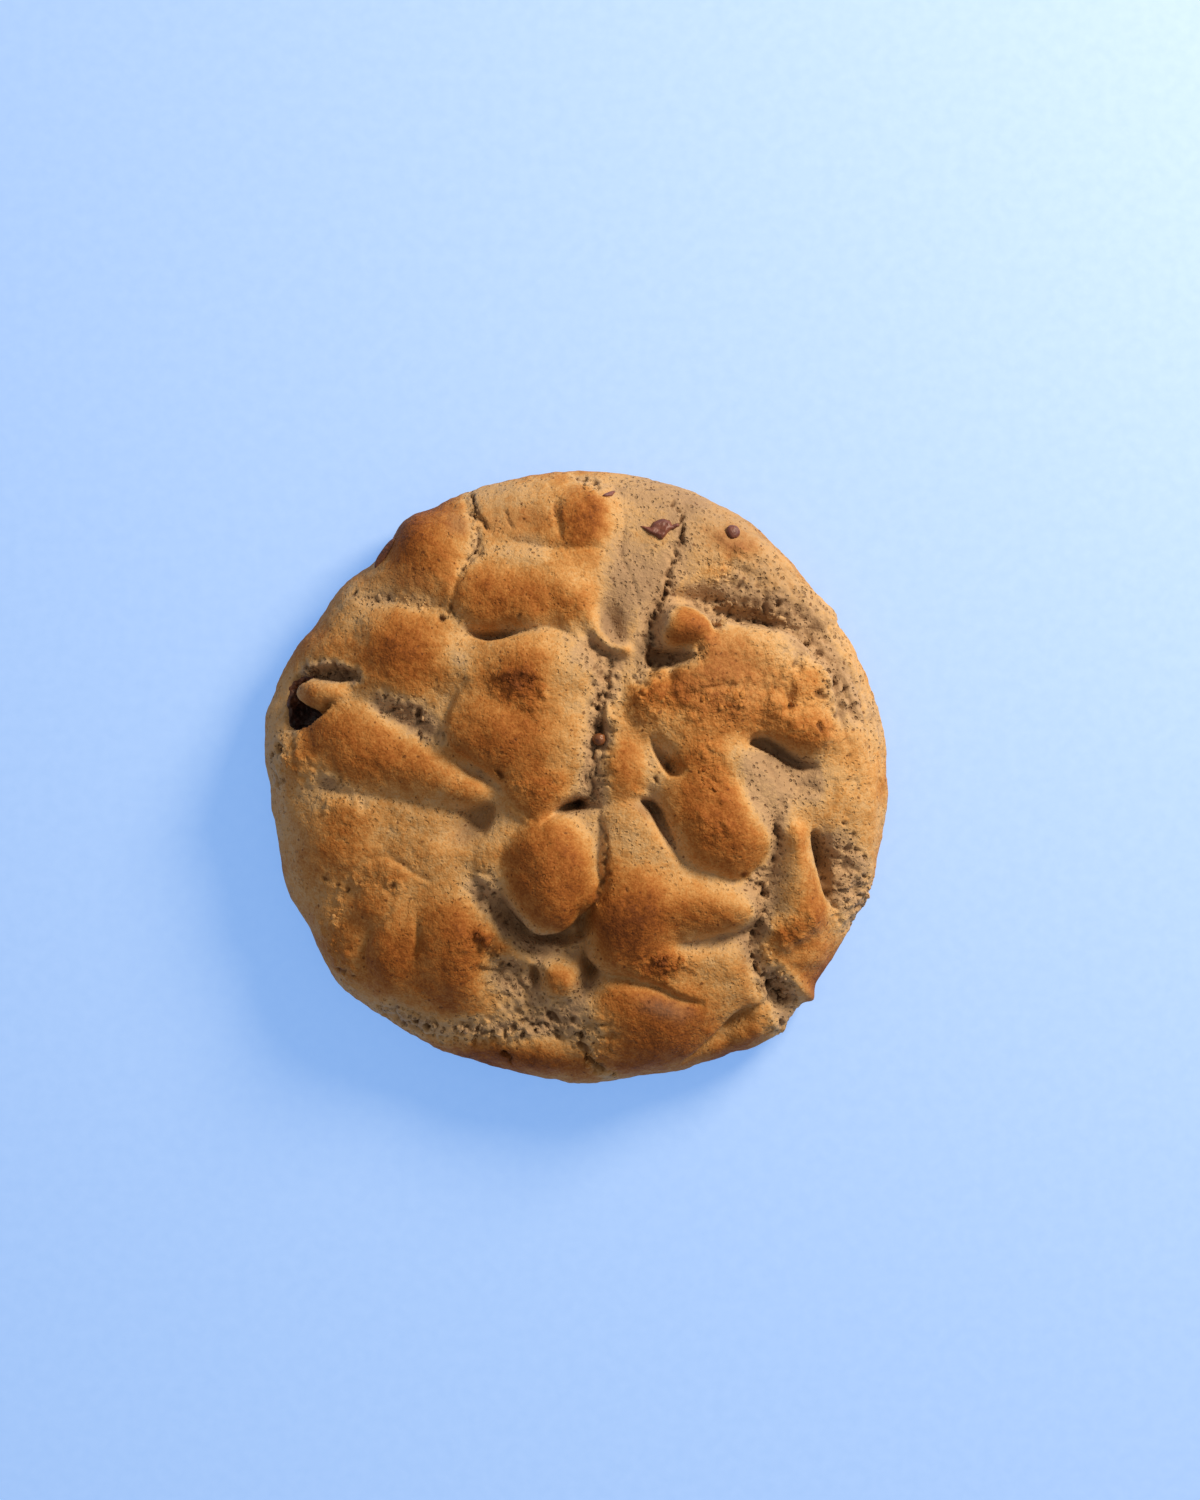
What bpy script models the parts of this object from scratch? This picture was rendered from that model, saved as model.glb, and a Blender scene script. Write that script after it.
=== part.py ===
"""A thick, hand-dropped spiced cookie, about 100 mm across, with a few melted chocolate pieces.

The dough is one solid: a low dome with a flat underside, whose top swells into lobes with hollows and
folds between them. Each chocolate piece is a solid of its own that sits in a pocket of the dough.
The shape is laid out in millimetres and built in metres, +Z up, with the origin at the middle of the
flat underside.
"""

import math

import bmesh
import bpy
import numpy as np
from mathutils import Matrix, Vector

MM = 0.001

# ---- driving dimensions, in millimetres ----
RIM_RADIUS = 49.3  # mean radius of the outline, seen from above
BASE_SHARE = 0.93  # radius of the flat underside over the radius of the outline
CROWN_HEIGHT = 17.5  # height of the dome under the lobes
WAIST_HEIGHT = 5.5  # height at which the side is widest
SHOULDER_POWER = 2.2  # a higher power gives a flatter dome with a rounder shoulder
BLEND = 0.8  # how softly lobes run into each other
LOBE_RISE = 0.72  # height of each lobe over its listed rise
LOBE_REACH = 1.22  # half width of each lobe over its listed one
RIM_RELIEF = 0.3  # share of the relief that is left at the outline
TOP_RINGS = 34  # rings of the mesh from the middle to the outline
SIDE_RINGS = 4  # rings from the outline down to the underside
FINEST_FOLD = 2.3  # narrowest half width of a fold that the mesh can follow
FINEST_WALL = 2.1  # narrowest wall of a pit that the mesh can follow
POCKET_GAP = 0.3  # clearance round a chocolate piece

# Where the outline swells out or draws in: (direction in degrees, half width in degrees, millimetres)
RIM_SWELLS = [
    (3, 10, 0.4),
    (15, 12, 0.25),
    (36, 18, -0.6),
    (33, 1.6, 0.5),
    (68, 12, 0.4),
    (118.5, 4.5, -1.0),
    (122.5, 5, 0.9),
    (132, 8, -2.0),
    (148.5, 6.5, -1.4),
    (166, 17, 1.6),
    (168, 4.5, 0.6),
    (178, 5, 0.5),
    (180.5, 3, -0.9),
    (202, 7, 1.2),
    (210, 6, -0.8),
    (220, 11, 2.1),
    (240, 10, 0.9),
    (256, 30, -1.2),
    (268, 12, 1.1),
    (289.5, 4, 0.7),
    (296, 10, 0.6),
    (299.5, 2, -0.6),
    (307, 9, 2.6),
    (308.6, 1.4, 0.6),
    (316.6, 1.3, 1.3),
    (318, 9, 1.3),
    (321, 7, -1.4),
    (330, 14, 0.9),
    (333, 2, -0.5),
    (342, 10, 0.7),
    (345, 3, -0.6),
]

# Lobes: (x, y, half length, half width, turn in degrees, rise)
LOBES = [
    # the top, left to right
    (-24.6, 36.8, 9.4, 8.6, 32, 5.4),
    (-26.4, 31.8, 7.4, 4.8, 0, 3.0),
    (-36.2, 29.6, 5.0, 3.4, 42, 2.4),
    (-8.0, 42.6, 11.0, 6.0, 8, 2.0),
    (1.0, 41.2, 5.8, 5.6, 0, 4.4),
    (1.8, 35.8, 5.6, 4.2, 0, 2.4),
    (-4.4, 33.2, 11.0, 4.6, -4, 3.2),
    (-15.8, 28.8, 6.4, 5.6, 0, 4.8),
    (-8.6, 27.8, 7.6, 5.6, 0, 5.0),
    (-1.8, 28.4, 5.8, 5.2, -15, 4.8),
    (13.0, 36.5, 7.4, 8.0, 0, 1.6),
    (21.0, 38.0, 6.4, 6.0, 0, 2.3),
    (26.8, 35.2, 6.0, 5.0, -45, 2.5),
    (22.4, 31.8, 3.0, 1.9, 20, 1.9),
    (34.0, 30.6, 8.6, 4.6, -47, 1.9),
    # the middle, left of the long valley
    (-8.6, 17.0, 10.6, 7.4, 0, 6.4),
    (-1.2, 17.4, 4.8, 6.2, 0, 4.2),
    (-16.4, 15.8, 5.2, 5.2, 0, 3.8),
    (-11.0, 6.8, 11.2, 7.4, -8, 6.2),
    (-2.6, 5.0, 5.2, 7.0, 0, 4.6),
    (-7.0, 11.4, 8.6, 3.4, 0, 4.4),
    # the middle, right of the long valley
    (7.0, 1.2, 4.6, 5.4, 10, 4.4),
    (4.4, 9.6, 3.0, 4.6, 0, 3.2),
    (9.6, -10.8, 8.8, 8.2, -40, 3.8),
    (13.6, -29.2, 5.2, 3.2, 0, 3.8),
    (11.8, -38.8, 11.8, 8.8, 12, 5.8),
    (22.4, -30.6, 7.6, 6.2, 0, 3.0),
    (24.4, -30.8, 2.4, 4.6, 8, 2.2),
    (31.6, -26.4, 1.6, 4.4, 4, 2.6),
    (26.4, -41.4, 7.6, 3.0, 38, 2.6),
    (19.6, -4.0, 7.4, 5.6, -30, 5.2),
    (21.0, 3.2, 8.4, 6.2, -10, 5.0),
    (29.2, -2.0, 4.4, 6.2, 10, 3.4),
    # the large cratered mass on the right
    (27.6, 19.8, 9.0, 6.4, -12, 6.2),
    (21.8, 16.0, 8.8, 6.4, 0, 5.8),
    (12.2, 12.6, 4.8, 4.4, 20, 5.2),
    (17.2, 14.0, 5.4, 4.8, 0, 4.8),
    (23.6, 11.4, 7.4, 5.2, 0, 5.6),
    (18.0, 8.4, 9.0, 4.8, 0, 5.0),
    (33.0, 16.0, 6.2, 7.0, 25, 4.8),
    (36.8, 14.6, 5.8, 8.0, 25, 3.6),
    (35.6, 8.0, 6.8, 4.2, -16, 5.6),
    (30.6, 11.0, 2.8, 2.8, 0, 5.4),
    (13.6, 24.2, 2.4, 2.4, 0, 3.4),
    (20.6, 20.0, 2.8, 2.4, 0, 5.0),
    (23.6, 25.2, 2.2, 1.2, 10, 2.8),
    (42.6, 5.0, 4.8, 5.2, 0, 2.8),
    (41.4, -2.4, 8.0, 5.8, 0, 2.6),
    (33.8, -24.4, 4.8, 3.0, 12, 4.8),
    (45.8, -10.6, 3.6, 6.8, 5, 2.6),
    (42.4, -21.8, 3.8, 2.8, 0, 1.8),
    (36.2, -29.2, 6.8, 5.6, -42, 3.6),
    # the left
    (-28.2, 19.8, 9.8, 8.2, 0, 5.6),
    (-39.8, 22.8, 8.8, 7.8, -35, 3.2),
    (-20.6, 18.8, 5.2, 5.6, 0, 3.4),
    (-36.6, 6.6, 6.4, 5.8, 20, 4.6),
    (-45.6, 1.0, 4.0, 6.6, 0, 3.0),
    (-39.2, -9.4, 7.8, 8.2, 0, 3.8),
    (-23.4, -10.6, 12.0, 7.0, 0, 1.5),
    (-30.0, -15.8, 5.2, 3.2, 0, 2.1),
    (-31.8, -20.6, 4.8, 3.4, 12, 3.8),
    (-38.0, -26.0, 4.8, 7.2, 14, 3.2),
    (-29.6, -27.4, 5.8, 7.8, 4, 5.0),
    (-20.4, -27.4, 5.4, 8.8, 8, 5.2),
    (-25.0, -31.0, 11.0, 7.4, -6, 4.2),
    (-14.8, -25.2, 2.2, 1.8, 0, 3.6),
    (-10.2, -27.6, 3.8, 1.9, -15, 2.6),
    (-3.2, -32.4, 3.6, 3.0, 0, 3.4),
    (-10.0, -44.0, 12.0, 3.6, -4, 2.0),
]

# Lobes with steeper sides, in the same form
FULL_LOBES = [
    (-4.8, -14.8, 6.6, 8.2, 0, 7.8),
    (-4.6, -18.6, 5.0, 5.4, 0, 7.2),
    (-13.2, -12.8, 3.0, 6.0, 0, 2.0),
    (8.0, -22.6, 6.8, 8.2, 0, 6.4),
    (23.8, -8.0, 5.8, 6.2, 0, 6.8),
    (16.8, 23.4, 4.2, 3.0, -12, 8.4),
    (-6.6, -1.6, 4.8, 4.8, 0, 4.8),
    (-14.0, 7.0, 6.4, 5.6, -8, 5.2),
    (-40.6, 13.2, 4.0, 2.1, 4, 5.6),
]

# Long lobes: (rise, half width at the start, half width at the end, points of the middle line)
RIDGES = [
    (3.6, 2.4, 1.1, [(-2.0, 29.4), (0.8, 27.4), (2.4, 24.8), (3.6, 22.6), (5.4, 21.2), (7.6, 20.8)]),
    (5.2, 2.2, 3.8, [(34.5, -9.6), (34.7, -13.0), (35.0, -17.0), (35.5, -21.4)]),
    (5.2, 5.4, 4.0, [(12.0, -20.0), (19.0, -20.2), (25.0, -20.8)]),
    (3.8, 6.4, 2.8, [(-43.0, 3.4), (-36.5, 3.8), (-30.5, 2.4), (-25.0, 0.6), (-20.4, -1.6), (-17.6, -2.8)]),
    (1.4, 2.0, 1.4, [(30.4, -2.0), (32.4, -5.0), (34.8, -9.0)]),
    (1.5, 1.3, 1.3, [(35.4, 24.6), (39.6, 19.6), (42.4, 13.6), (44.0, 7.0), (44.4, 1.0)]),
    (1.1, 1.2, 1.2, [(39.6, 25.0), (43.0, 19.6), (45.2, 13.6), (46.6, 7.0)]),
    (1.2, 1.4, 1.4, [(3.6, -6.4), (5.2, -11.0), (5.4, -16.0)]),
]

# Hollows: (x, y, half length, half width, turn in degrees, depth)
HOLLOWS = [
    (-45.0, 11.0, 3.0, 3.6, 20, 1.2),
    (14.4, 18.9, 3.6, 1.8, 0, 2.6),
    (11.2, 24.2, 1.4, 3.4, 0, 1.6),
    (17.0, 28.4, 5.0, 1.4, -4, 1.4),
    (21.9, 24.0, 0.9, 1.6, 0, 1.2),
    (32.2, 2.4, 5.4, 2.4, -35, 1.3),
    (14.6, 2.6, 2.4, 1.2, -55, 0.9),
    (10.8, -4.8, 2.6, 1.0, -20, 1.8),
    (5.4, 24.8, 1.7, 3.8, 14, 2.4),
    (4.4, 18.8, 3.0, 1.3, -15, 0.5),
    (3.0, 6.6, 1.8, 3.6, 0, 1.5),
    (-17.4, -7.4, 4.4, 2.7, 35, 2.8),
    (-11.6, -22.4, 5.4, 1.8, -42, 2.4),
    (-3.4, -27.0, 6.0, 2.2, 0, 3.2),
    (1.2, -23.8, 1.8, 3.2, 25, 2.6),
    (2.0, -31.8, 2.0, 3.0, 10, 3.0),
    (-11.0, -31.6, 4.6, 3.6, 0, 2.4),
    (-6.6, -31.8, 1.2, 2.2, -15, 1.4),
    (39.7, -13.0, 1.4, 4.6, 8, 1.7),
    (27.6, 26.6, 8.6, 2.0, -14, 2.6),
    (38.6, 21.0, 6.6, 1.9, -58, 1.4),
    (22.6, -25.8, 6.2, 1.4, 4, 2.0),
    (32.0, -35.6, 2.2, 3.0, 10, 1.9),
    (-1.0, -4.8, 3.4, 1.3, 12, 2.4),
    (-28.0, 9.0, 5.0, 1.7, -24, 1.1),
    (13.2, -6.6, 6.4, 1.6, -58, 1.8),
    (-13.4, 22.9, 4.6, 1.2, 3, 2.2),
    (27.8, -27.0, 1.3, 4.2, 0, 1.3),
    (3.4, -12.6, 1.2, 7.0, 0, 0.9),
    (23.8, -40.2, 4.6, 1.4, 42, 1.4),
    (-39.2, -1.4, 1.6, 1.2, 0, 1.0),
    (-25.2, -25.4, 0.6, 2.6, 0, 0.6),
    (-16.8, 0.6, 3.2, 1.0, -28, 1.4),
    (34.2, 18.0, 1.0, 1.8, 10, 1.4),
    (32.8, 13.6, 0.9, 2.2, 0, 1.2),
    (14.6, 16.0, 0.9, 2.0, -10, 1.0),
    (-10.0, 36.8, 6.0, 1.6, 0, 0.6),
    (-34.6, -26.2, 1.0, 2.6, -20, 0.7),
    (19.0, 30.5, 14.0, 7.0, -28, 1.5),
]

# Folds: (depth, half width left of the line, half width right of it, points). Left and right are as seen
# walking the line in the order of its points.
FOLDS = [
    (1.2, 2.4, 1.2, [(-18.5, 24.2), (-14.5, 22.3), (-9.5, 23.0), (-4.0, 23.4), (0, 21.8)]),
    (0.8, 1.2, 1.6, [(1.4, 23.0), (2.8, 20.4), (6.4, 19.2)]),
    (1.0, 2.0, 2.0, [(1.8, 20.4), (3.8, 17.0), (4.4, 13.4), (3.0, 9.6), (2.9, 4.6), (2.2, 0.4), (1.6, -3.6)]),
    (1.5, 1.6, 1.6, [(-6.4, -7.0), (-3.4, -5.4), (0.2, -4.4), (4.0, -4.8)]),
    (0.6, 1.6, 1.2, [(-18.5, 3.2), (-15.0, 0.2), (-12.2, -1.6), (-9.6, -4.4), (-6.6, -6.8)]),
    (0.7, 2.8, 1.8, [(-38.5, -1.8), (-28.0, -3.6), (-20.5, -5.4), (-13.4, -5.4)]),
    (0.9, 1.2, 2.2, [(-17.0, 15.2), (-20.2, 11.6), (-20.9, 7.4), (-19.4, 3.6), (-15.4, 0.4)]),
    (0.7, 1.4, 1.4, [(3.0, -6.0), (3.4, -10.0), (3.0, -14.0), (3.6, -17.0), (2.0, -22.0)]),
    (1.6, 1.4, 1.8, [(-14.0, -18.6), (-11.4, -22.0), (-7.6, -24.8), (-4.4, -25.6), (-1.0, -24.0), (2.4, -20.6)]),
    (1.3, 1.4, 1.6, [(0.2, -20.5), (0.0, -24.5), (1.2, -29.0), (2.6, -31.4), (0.6, -35.0)]),
    (1.9, 1.4, 2.6, [(2.0, -31.4), (6.0, -31.8), (11.0, -32.8), (15.0, -34.6), (19.0, -35.6)]),
    (1.0, 2.0, 1.2, [(9.0, -3.2), (12.2, -6.0), (14.4, -9.6), (18.0, -14.0)]),
    (1.2, 2.4, 0.8, [(11.2, 6.4), (12.8, 3.6), (14.6, 0.9), (16.4, 0.2)]),
    (2.4, 0.8, 2.4, [(26.4, 5.2), (28.0, 6.2), (30.4, 6.0), (33.2, 4.2), (35.2, 2.8), (38.0, 1.8)]),
    (1.2, 2.4, 1.0, [(20.0, 26.0), (26.0, 25.8), (32.0, 24.4), (36.6, 20.8), (40.0, 16.0), (42.0, 8.0)]),
    (0.4, 0.9, 0.9, [(16.4, 42.4), (16.2, 39.0), (15.2, 35.0), (14.2, 30.6), (12.4, 26.4), (11.6, 22.6), (12.0, 18.6)]),
    (2.2, 2.0, 0.7, [(37.8, -8.4), (38.1, -10.6), (38.8, -14.0), (39.6, -18.0), (41.0, -21.4)]),
    (0.3, 1.2, 1.2, [(30.4, -6.6), (31.2, -10.0), (30.4, -15.0), (29.2, -18.0), (30.4, -21.0)]),
    (0.6, 1.4, 1.4, [(28.4, -17.5), (29.4, -21.0), (28.0, -26.0), (29.2, -31.0), (31.6, -37.0)]),
    (1.2, 1.2, 1.8, [(16.0, -45.4), (20.6, -42.0), (24.6, -38.0), (29.4, -36.0)]),
    (0.5, 2.6, 2.6, [(-36.0, 28.8), (-30.0, 28.2), (-26.0, 27.2), (-21.0, 26.6), (-17.0, 24.4)]),
    (0.8, 1.8, 0.9, [(-43.0, 16.6), (-39.0, 16.2), (-34.0, 16.0)]),
    (0.5, 1.4, 1.0, [(-38.0, -16.4), (-33.6, -13.8), (-30.4, -12.8), (-27.0, -14.4), (-22.8, -17.2)]),
    (0.4, 0.7, 0.7, [(-25.4, -22.4), (-25.0, -25.0), (-25.4, -27.8)]),
    (0.7, 1.4, 1.4, [(-28.4, -20.6), (-31.0, -22.6), (-33.4, -24.4), (-34.4, -27.0), (-34.0, -30.0)]),
    (0.6, 0.9, 0.9, [(-17.2, 45.4), (-16.8, 42.4), (-15.6, 40.4), (-13.8, 38.8)]),
    (0.8, 1.6, 1.6, [(-16.2, 40.2), (-16.4, 36.4), (-18.4, 32.6), (-20.0, 27.4)]),
    (0.7, 1.4, 1.2, [(-12.0, 37.6), (-6.0, 36.6), (1.0, 36.6), (5.0, 36.0)]),
    (0.35, 0.8, 0.8, [(6.4, 44.0), (7.6, 40.0), (7.2, 35.0), (8.6, 31.0), (9.0, 27.4)]),
    (0.9, 1.2, 1.2, [(9.4, 14.6), (13.0, 15.6), (18.0, 18.0)]),
    (0.8, 0.9, 0.9, [(31.4, 14.8), (33.0, 11.6), (31.4, 9.8)]),
    (0.6, 1.2, 1.2, [(18.0, 12.6), (22.0, 13.6), (26.6, 15.0)]),
    (0.7, 1.0, 1.4, [(-3.2, 44.6), (-3.9, 41.0), (-3.2, 37.6)]),
]

# Pits with a crisp rim: (depth, wall, deepest place, reach from it, outline)
PITS = [
    # round the tongue of dough at the left edge
    (3.8, 0.9, (-44.0, 10.0), 9.0, [(-44.6, 16.4), (-42.3, 16.5), (-42.6, 15.3), (-43.9, 14.7), (-44.7, 13.6),
                                   (-44.4, 12.5), (-43.4, 11.6), (-42.2, 11.2), (-41.3, 10.6), (-40.4, 10.9),
                                   (-39.7, 11.8), (-38.5, 11.9), (-40.4, 9.8), (-42.2, 8.4), (-44.6, 7.5),
                                   (-46.2, 7.7), (-46.8, 10.2), (-46.9, 12.6), (-46.4, 14.5), (-45.7, 15.6)]),
    (2.6, 0.7, (-36.4, 16.0), 9.0, [(-43.0, 16.2), (-41.4, 15.5), (-38.0, 15.35), (-36.0, 15.4), (-35.1, 15.8),
                                   (-34.9, 16.6), (-36.4, 17.3), (-39.0, 17.8), (-42.0, 17.4)]),
    # under the egg-shaped lobe
    (4.2, 1.6, (-1.0, -24.4), 12.0, [(-14.6, -18.4), (-12.0, -20.4), (-9.8, -22.6), (-7.6, -24.5), (-5.0, -25.4),
                                    (-2.8, -24.8), (0.0, -22.4), (2.6, -19.6), (2.4, -23.2), (1.0, -26.0),
                                    (-2.2, -27.4), (-6.0, -27.2), (-9.8, -25.8), (-13.2, -22.6)]),
    (2.4, 1.0, (1.8, -31.4), 4.0, [(0.8, -27.6), (2.4, -30.4), (3.4, -31.6), (2.2, -33.2), (0.9, -32.0), (0.2, -29.8)]),
    (2.6, 1.3, (-14.0, -5.2), 6.0, [(-19.6, -5.2), (-16.6, -4.6), (-14.2, -4.0), (-13.2, -4.6), (-13.6, -6.8), (-15.0, -9.2),
                                   (-17.4, -8.2)]),
    (2.2, 0.8, (-0.6, -4.4), 5.0, [(-4.2, -5.4), (-2.4, -4.2), (0.0, -3.6), (1.6, -3.7), (1.2, -4.9), (-1.0, -5.2), (-3.2, -6.0)]),
    # right of the middle
    (2.8, 0.7, (30.6, 4.6), 8.0, [(26.8, 5.2), (28.2, 6.4), (30.6, 6.2), (33.2, 4.6), (35.2, 3.1), (37.6, 2.0),
                                 (36.0, 1.0), (33.4, 2.2), (30.8, 3.8), (28.6, 4.6)]),
    (2.0, 0.9, (14.0, 1.2), 5.0, [(11.3, 6.5), (12.6, 5.6), (13.9, 3.8), (15.8, 2.8), (16.7, 1.6), (15.8, 0.2),
                                 (14.4, 0.1), (13.2, 1.6), (12.0, 4.0)]),
    (2.6, 1.0, (38.9, -12.6), 9.0, [(37.2, -8.8), (38.2, -8.4), (39.6, -10.4), (40.8, -13.6), (41.0, -17.4),
                                   (40.2, -20.0), (38.9, -17.0), (38.0, -13.5)]),
    (2.6, 1.0, (11.6, -5.0), 7.0, [(9.8, -3.6), (12.0, -3.7), (13.6, -5.2), (14.8, -8.0), (16.0, -11.6), (14.6, -10.6),
                                  (12.8, -8.0), (11.2, -5.4)]),
    (0.5, 0.9, (31.6, -8.6), 6.0, [(30.6, -7.0), (31.6, -6.8), (32.6, -9.4), (32.2, -12.4), (31.3, -12.0), (30.9, -9.4)]),
    # the top
    (2.6, 1.2, (13.6, 18.8), 8.0, [(11.4, 20.6), (13.0, 20.7), (15.5, 20.1), (17.6, 19.5), (18.0, 18.8), (16.6, 18.0),
                                  (14.5, 17.6), (12.0, 16.9), (10.9, 18.2)]),
    (2.6, 1.0, (-13.6, 22.4), 6.0, [(-17.4, 23.4), (-14.0, 23.6), (-9.4, 23.0), (-12.0, 21.9), (-14.5, 21.5),
                                   (-16.6, 22.3)]),
    (0.8, 1.5, (5.2, 23.8), 5.6, [(3.9, 27.6), (5.2, 27.4), (7.0, 24.6), (7.4, 22.6), (6.2, 21.9), (5.0, 23.0)]),
    (1.0, 0.8, (3.0, 20.4), 4.0, [(1.4, 22.0), (2.4, 21.6), (3.6, 20.6), (5.6, 20.0), (5.4, 19.2), (3.0, 19.4),
                                 (1.6, 20.4)]),
    (1.6, 1.2, (27.6, 26.2), 11.0, [(20.4, 26.6), (25.0, 25.6), (30.0, 25.2), (33.2, 23.4), (36.0, 20.8), (37.4, 21.8),
                                   (34.6, 24.6), (30.0, 27.0), (25.0, 27.8), (21.0, 27.8)]),
    (2.0, 0.9, (-6.6, -32.0), 3.0, [(-7.8, -30.0), (-6.8, -30.2), (-5.7, -32.4), (-6.0, -34.2), (-7.3, -33.4),
                                   (-7.9, -31.8)]),
    # the torn notch at the lower right edge
    (2.2, 1.2, (31.8, -34.2), 5.0, [(30.2, -31.0), (31.4, -31.8), (33.4, -34.2), (34.0, -35.8), (32.6, -37.8),
                                   (31.0, -36.6), (30.2, -33.6)]),
    (1.6, 1.0, (24.6, -39.0), 4.0, [(21.6, -40.6), (24.8, -37.8), (28.4, -36.8), (27.4, -38.6), (24.4, -40.6)]),
]

# The melted lump of chocolate at the left edge lies round the tip of a tongue of dough.
MELT_OUTLINE = [
    (-46.2, 16.0),
    (-44.6, 15.0),
    (-44.8, 12.8),
    (-42.4, 11.4),
    (-39.4, 11.9),
    (-40.2, 10.2),
    (-42.8, 8.6),
    (-46.0, 7.4),
    (-46.9, 10.0),
    (-47.0, 13.4),
]
MELT_THICKNESS = 2.4

# The other pieces: (name, x, y, half length, half width, half thickness, turn in degrees, share above the dough)
CHIPS = [
    ("chocolate_flake", 13.3, 39.9, 3.2, 1.5, 0.8, 6, 0.55),
    ("chocolate_chip_rim", 24.7, 39.3, 1.25, 1.1, 1.0, 0, 0.5),
    ("chocolate_chip_middle", 3.5, 6.2, 1.15, 1.05, 1.0, 0, 0.7),
    ("chocolate_sliver_edge", -30.6, 35.8, 2.6, 0.8, 0.9, 52, 0.4),
    ("chocolate_sliver_top", 5.1, 45.5, 1.2, 0.5, 0.5, 20, 0.5),
]


def lattice_noise(x, y, z, cell, seed):
    """Smooth noise from -1 to 1, with one value drawn for each corner of a lattice of cubes."""
    draw = np.random.default_rng(seed)
    order = draw.permutation(256)
    value = draw.uniform(-1, 1, 256)
    place = np.stack([x, y, z]) / cell
    low = np.floor(place).astype(int)
    part = place - low
    part = part**3 * (part * (part * 6 - 15) + 10)
    total = np.zeros_like(x)
    for i in (0, 1):
        for j in (0, 1):
            for k in (0, 1):
                a = order[(low[0] + i) & 255]
                b = order[(a + low[1] + j) & 255]
                c = order[(b + low[2] + k) & 255]
                weight = part[0] if i else 1 - part[0]
                weight = weight * (part[1] if j else 1 - part[1])
                weight = weight * (part[2] if k else 1 - part[2])
                total = total + weight * value[c]
    return total


def dome_meridian():
    """The dome's section as (share of the outline's radius, height), for the top and for the side below it."""
    share = np.sin(np.linspace(0, math.pi / 2, 400))
    height = WAIST_HEIGHT + (CROWN_HEIGHT - WAIST_HEIGHT) * np.sqrt(np.clip(1 - share**SHOULDER_POWER, 0, 1))
    drop = np.linspace(0, 1, 120)
    low_share = BASE_SHARE + (1 - BASE_SHARE) * np.clip(1 - drop**2.5, 0, 1) ** 0.4
    return evened(share, height, TOP_RINGS), evened(low_share, WAIST_HEIGHT * (1 - drop), SIDE_RINGS)


def evened(share, height, steps):
    """The same line with its points at even distances along it."""
    run = np.concatenate([[0], np.cumsum(np.hypot(np.diff(share) * RIM_RADIUS, np.diff(height)))])
    at = np.linspace(0, run[-1], steps + 1)
    return np.interp(at, run, share), np.interp(at, run, height)


def rim_radius(angle):
    radius = np.full_like(angle, RIM_RADIUS)
    for direction, half_width, swell in RIM_SWELLS:
        away = (np.degrees(angle) - direction + 180) % 360 - 180
        radius += swell * np.exp(-((away / half_width) ** 2))
    return radius


def turned(x, y, cx, cy, turn):
    c, s = math.cos(math.radians(turn)), math.sin(math.radians(turn))
    return (x - cx) * c + (y - cy) * s, (y - cy) * c - (x - cx) * s


def smooth_curve(points, steps=6):
    """A Catmull-Rom curve through the points."""
    p = np.array([points[0], *points, points[-1]], float)
    out = []
    for i in range(1, len(p) - 2):
        for t in np.linspace(0, 1, steps, endpoint=False):
            out.append(
                0.5
                * (
                    2 * p[i]
                    + (p[i + 1] - p[i - 1]) * t
                    + (2 * p[i - 1] - 5 * p[i] + 4 * p[i + 1] - p[i + 2]) * t**2
                    + (3 * p[i] - p[i - 1] - 3 * p[i + 1] + p[i + 2]) * t**3
                )
            )
    out.append(p[-2])
    return np.array(out)


def near_line(x, y, points, steps=5):
    """Distance to a smooth line, the share of the way along it, and the signed distance from it."""
    line = smooth_curve(points, steps)
    runs = np.linalg.norm(np.diff(line, axis=0), axis=1)
    starts = np.concatenate([[0], np.cumsum(runs)])
    best = np.full(x.shape, 1e9)
    along = np.zeros(x.shape)
    side = np.zeros(x.shape)
    for (a, b), run, start in zip(zip(line[:-1], line[1:]), runs, starts):
        d = (b - a) / run
        t = np.clip((x - a[0]) * d[0] + (y - a[1]) * d[1], 0, run)
        far = np.hypot(x - a[0] - t * d[0], y - a[1] - t * d[1])
        near = far < best
        best = np.where(near, far, best)
        along = np.where(near, (start + t) / starts[-1], along)
        side = np.where(near, d[0] * (y - a[1]) - d[1] * (x - a[0]), side)
    return best, along, side


def fold_depth(x, y, depth, left, right, points):
    left, right = max(left, FINEST_FOLD), max(right, FINEST_FOLD)
    best, along, side = near_line(x, y, points, 6)
    taper = np.sqrt(4 * along * (1 - along))
    lean = 0.5 + 0.5 * np.clip(side / (0.4 * (left + right)), -1, 1)
    width = (right + (left - right) * lean) * (0.35 + 0.65 * taper)
    away = np.clip(best / width, 0, 1)
    return depth * taper * (1 - away) ** 2 * (1 + 0.6 * away)


def within(x, y, outline):
    """Distance to the outline, positive inside it."""
    corners = np.array(outline)
    best = np.full(x.shape, 1e9)
    inside = np.zeros(x.shape, bool)
    for a, b in zip(corners, np.roll(corners, -1, axis=0)):
        run = np.linalg.norm(b - a)
        d = (b - a) / run
        t = np.clip((x - a[0]) * d[0] + (y - a[1]) * d[1], 0, run)
        best = np.minimum(best, np.hypot(x - a[0] - t * d[0], y - a[1] - t * d[1]))
        crosses = (a[1] > y) != (b[1] > y)
        at = a[0] + (y - a[1]) / np.where(b[1] == a[1], 1e-9, b[1] - a[1]) * (b[0] - a[0])
        inside ^= crosses & (x < at)
    return np.where(inside, best, -best)


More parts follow.
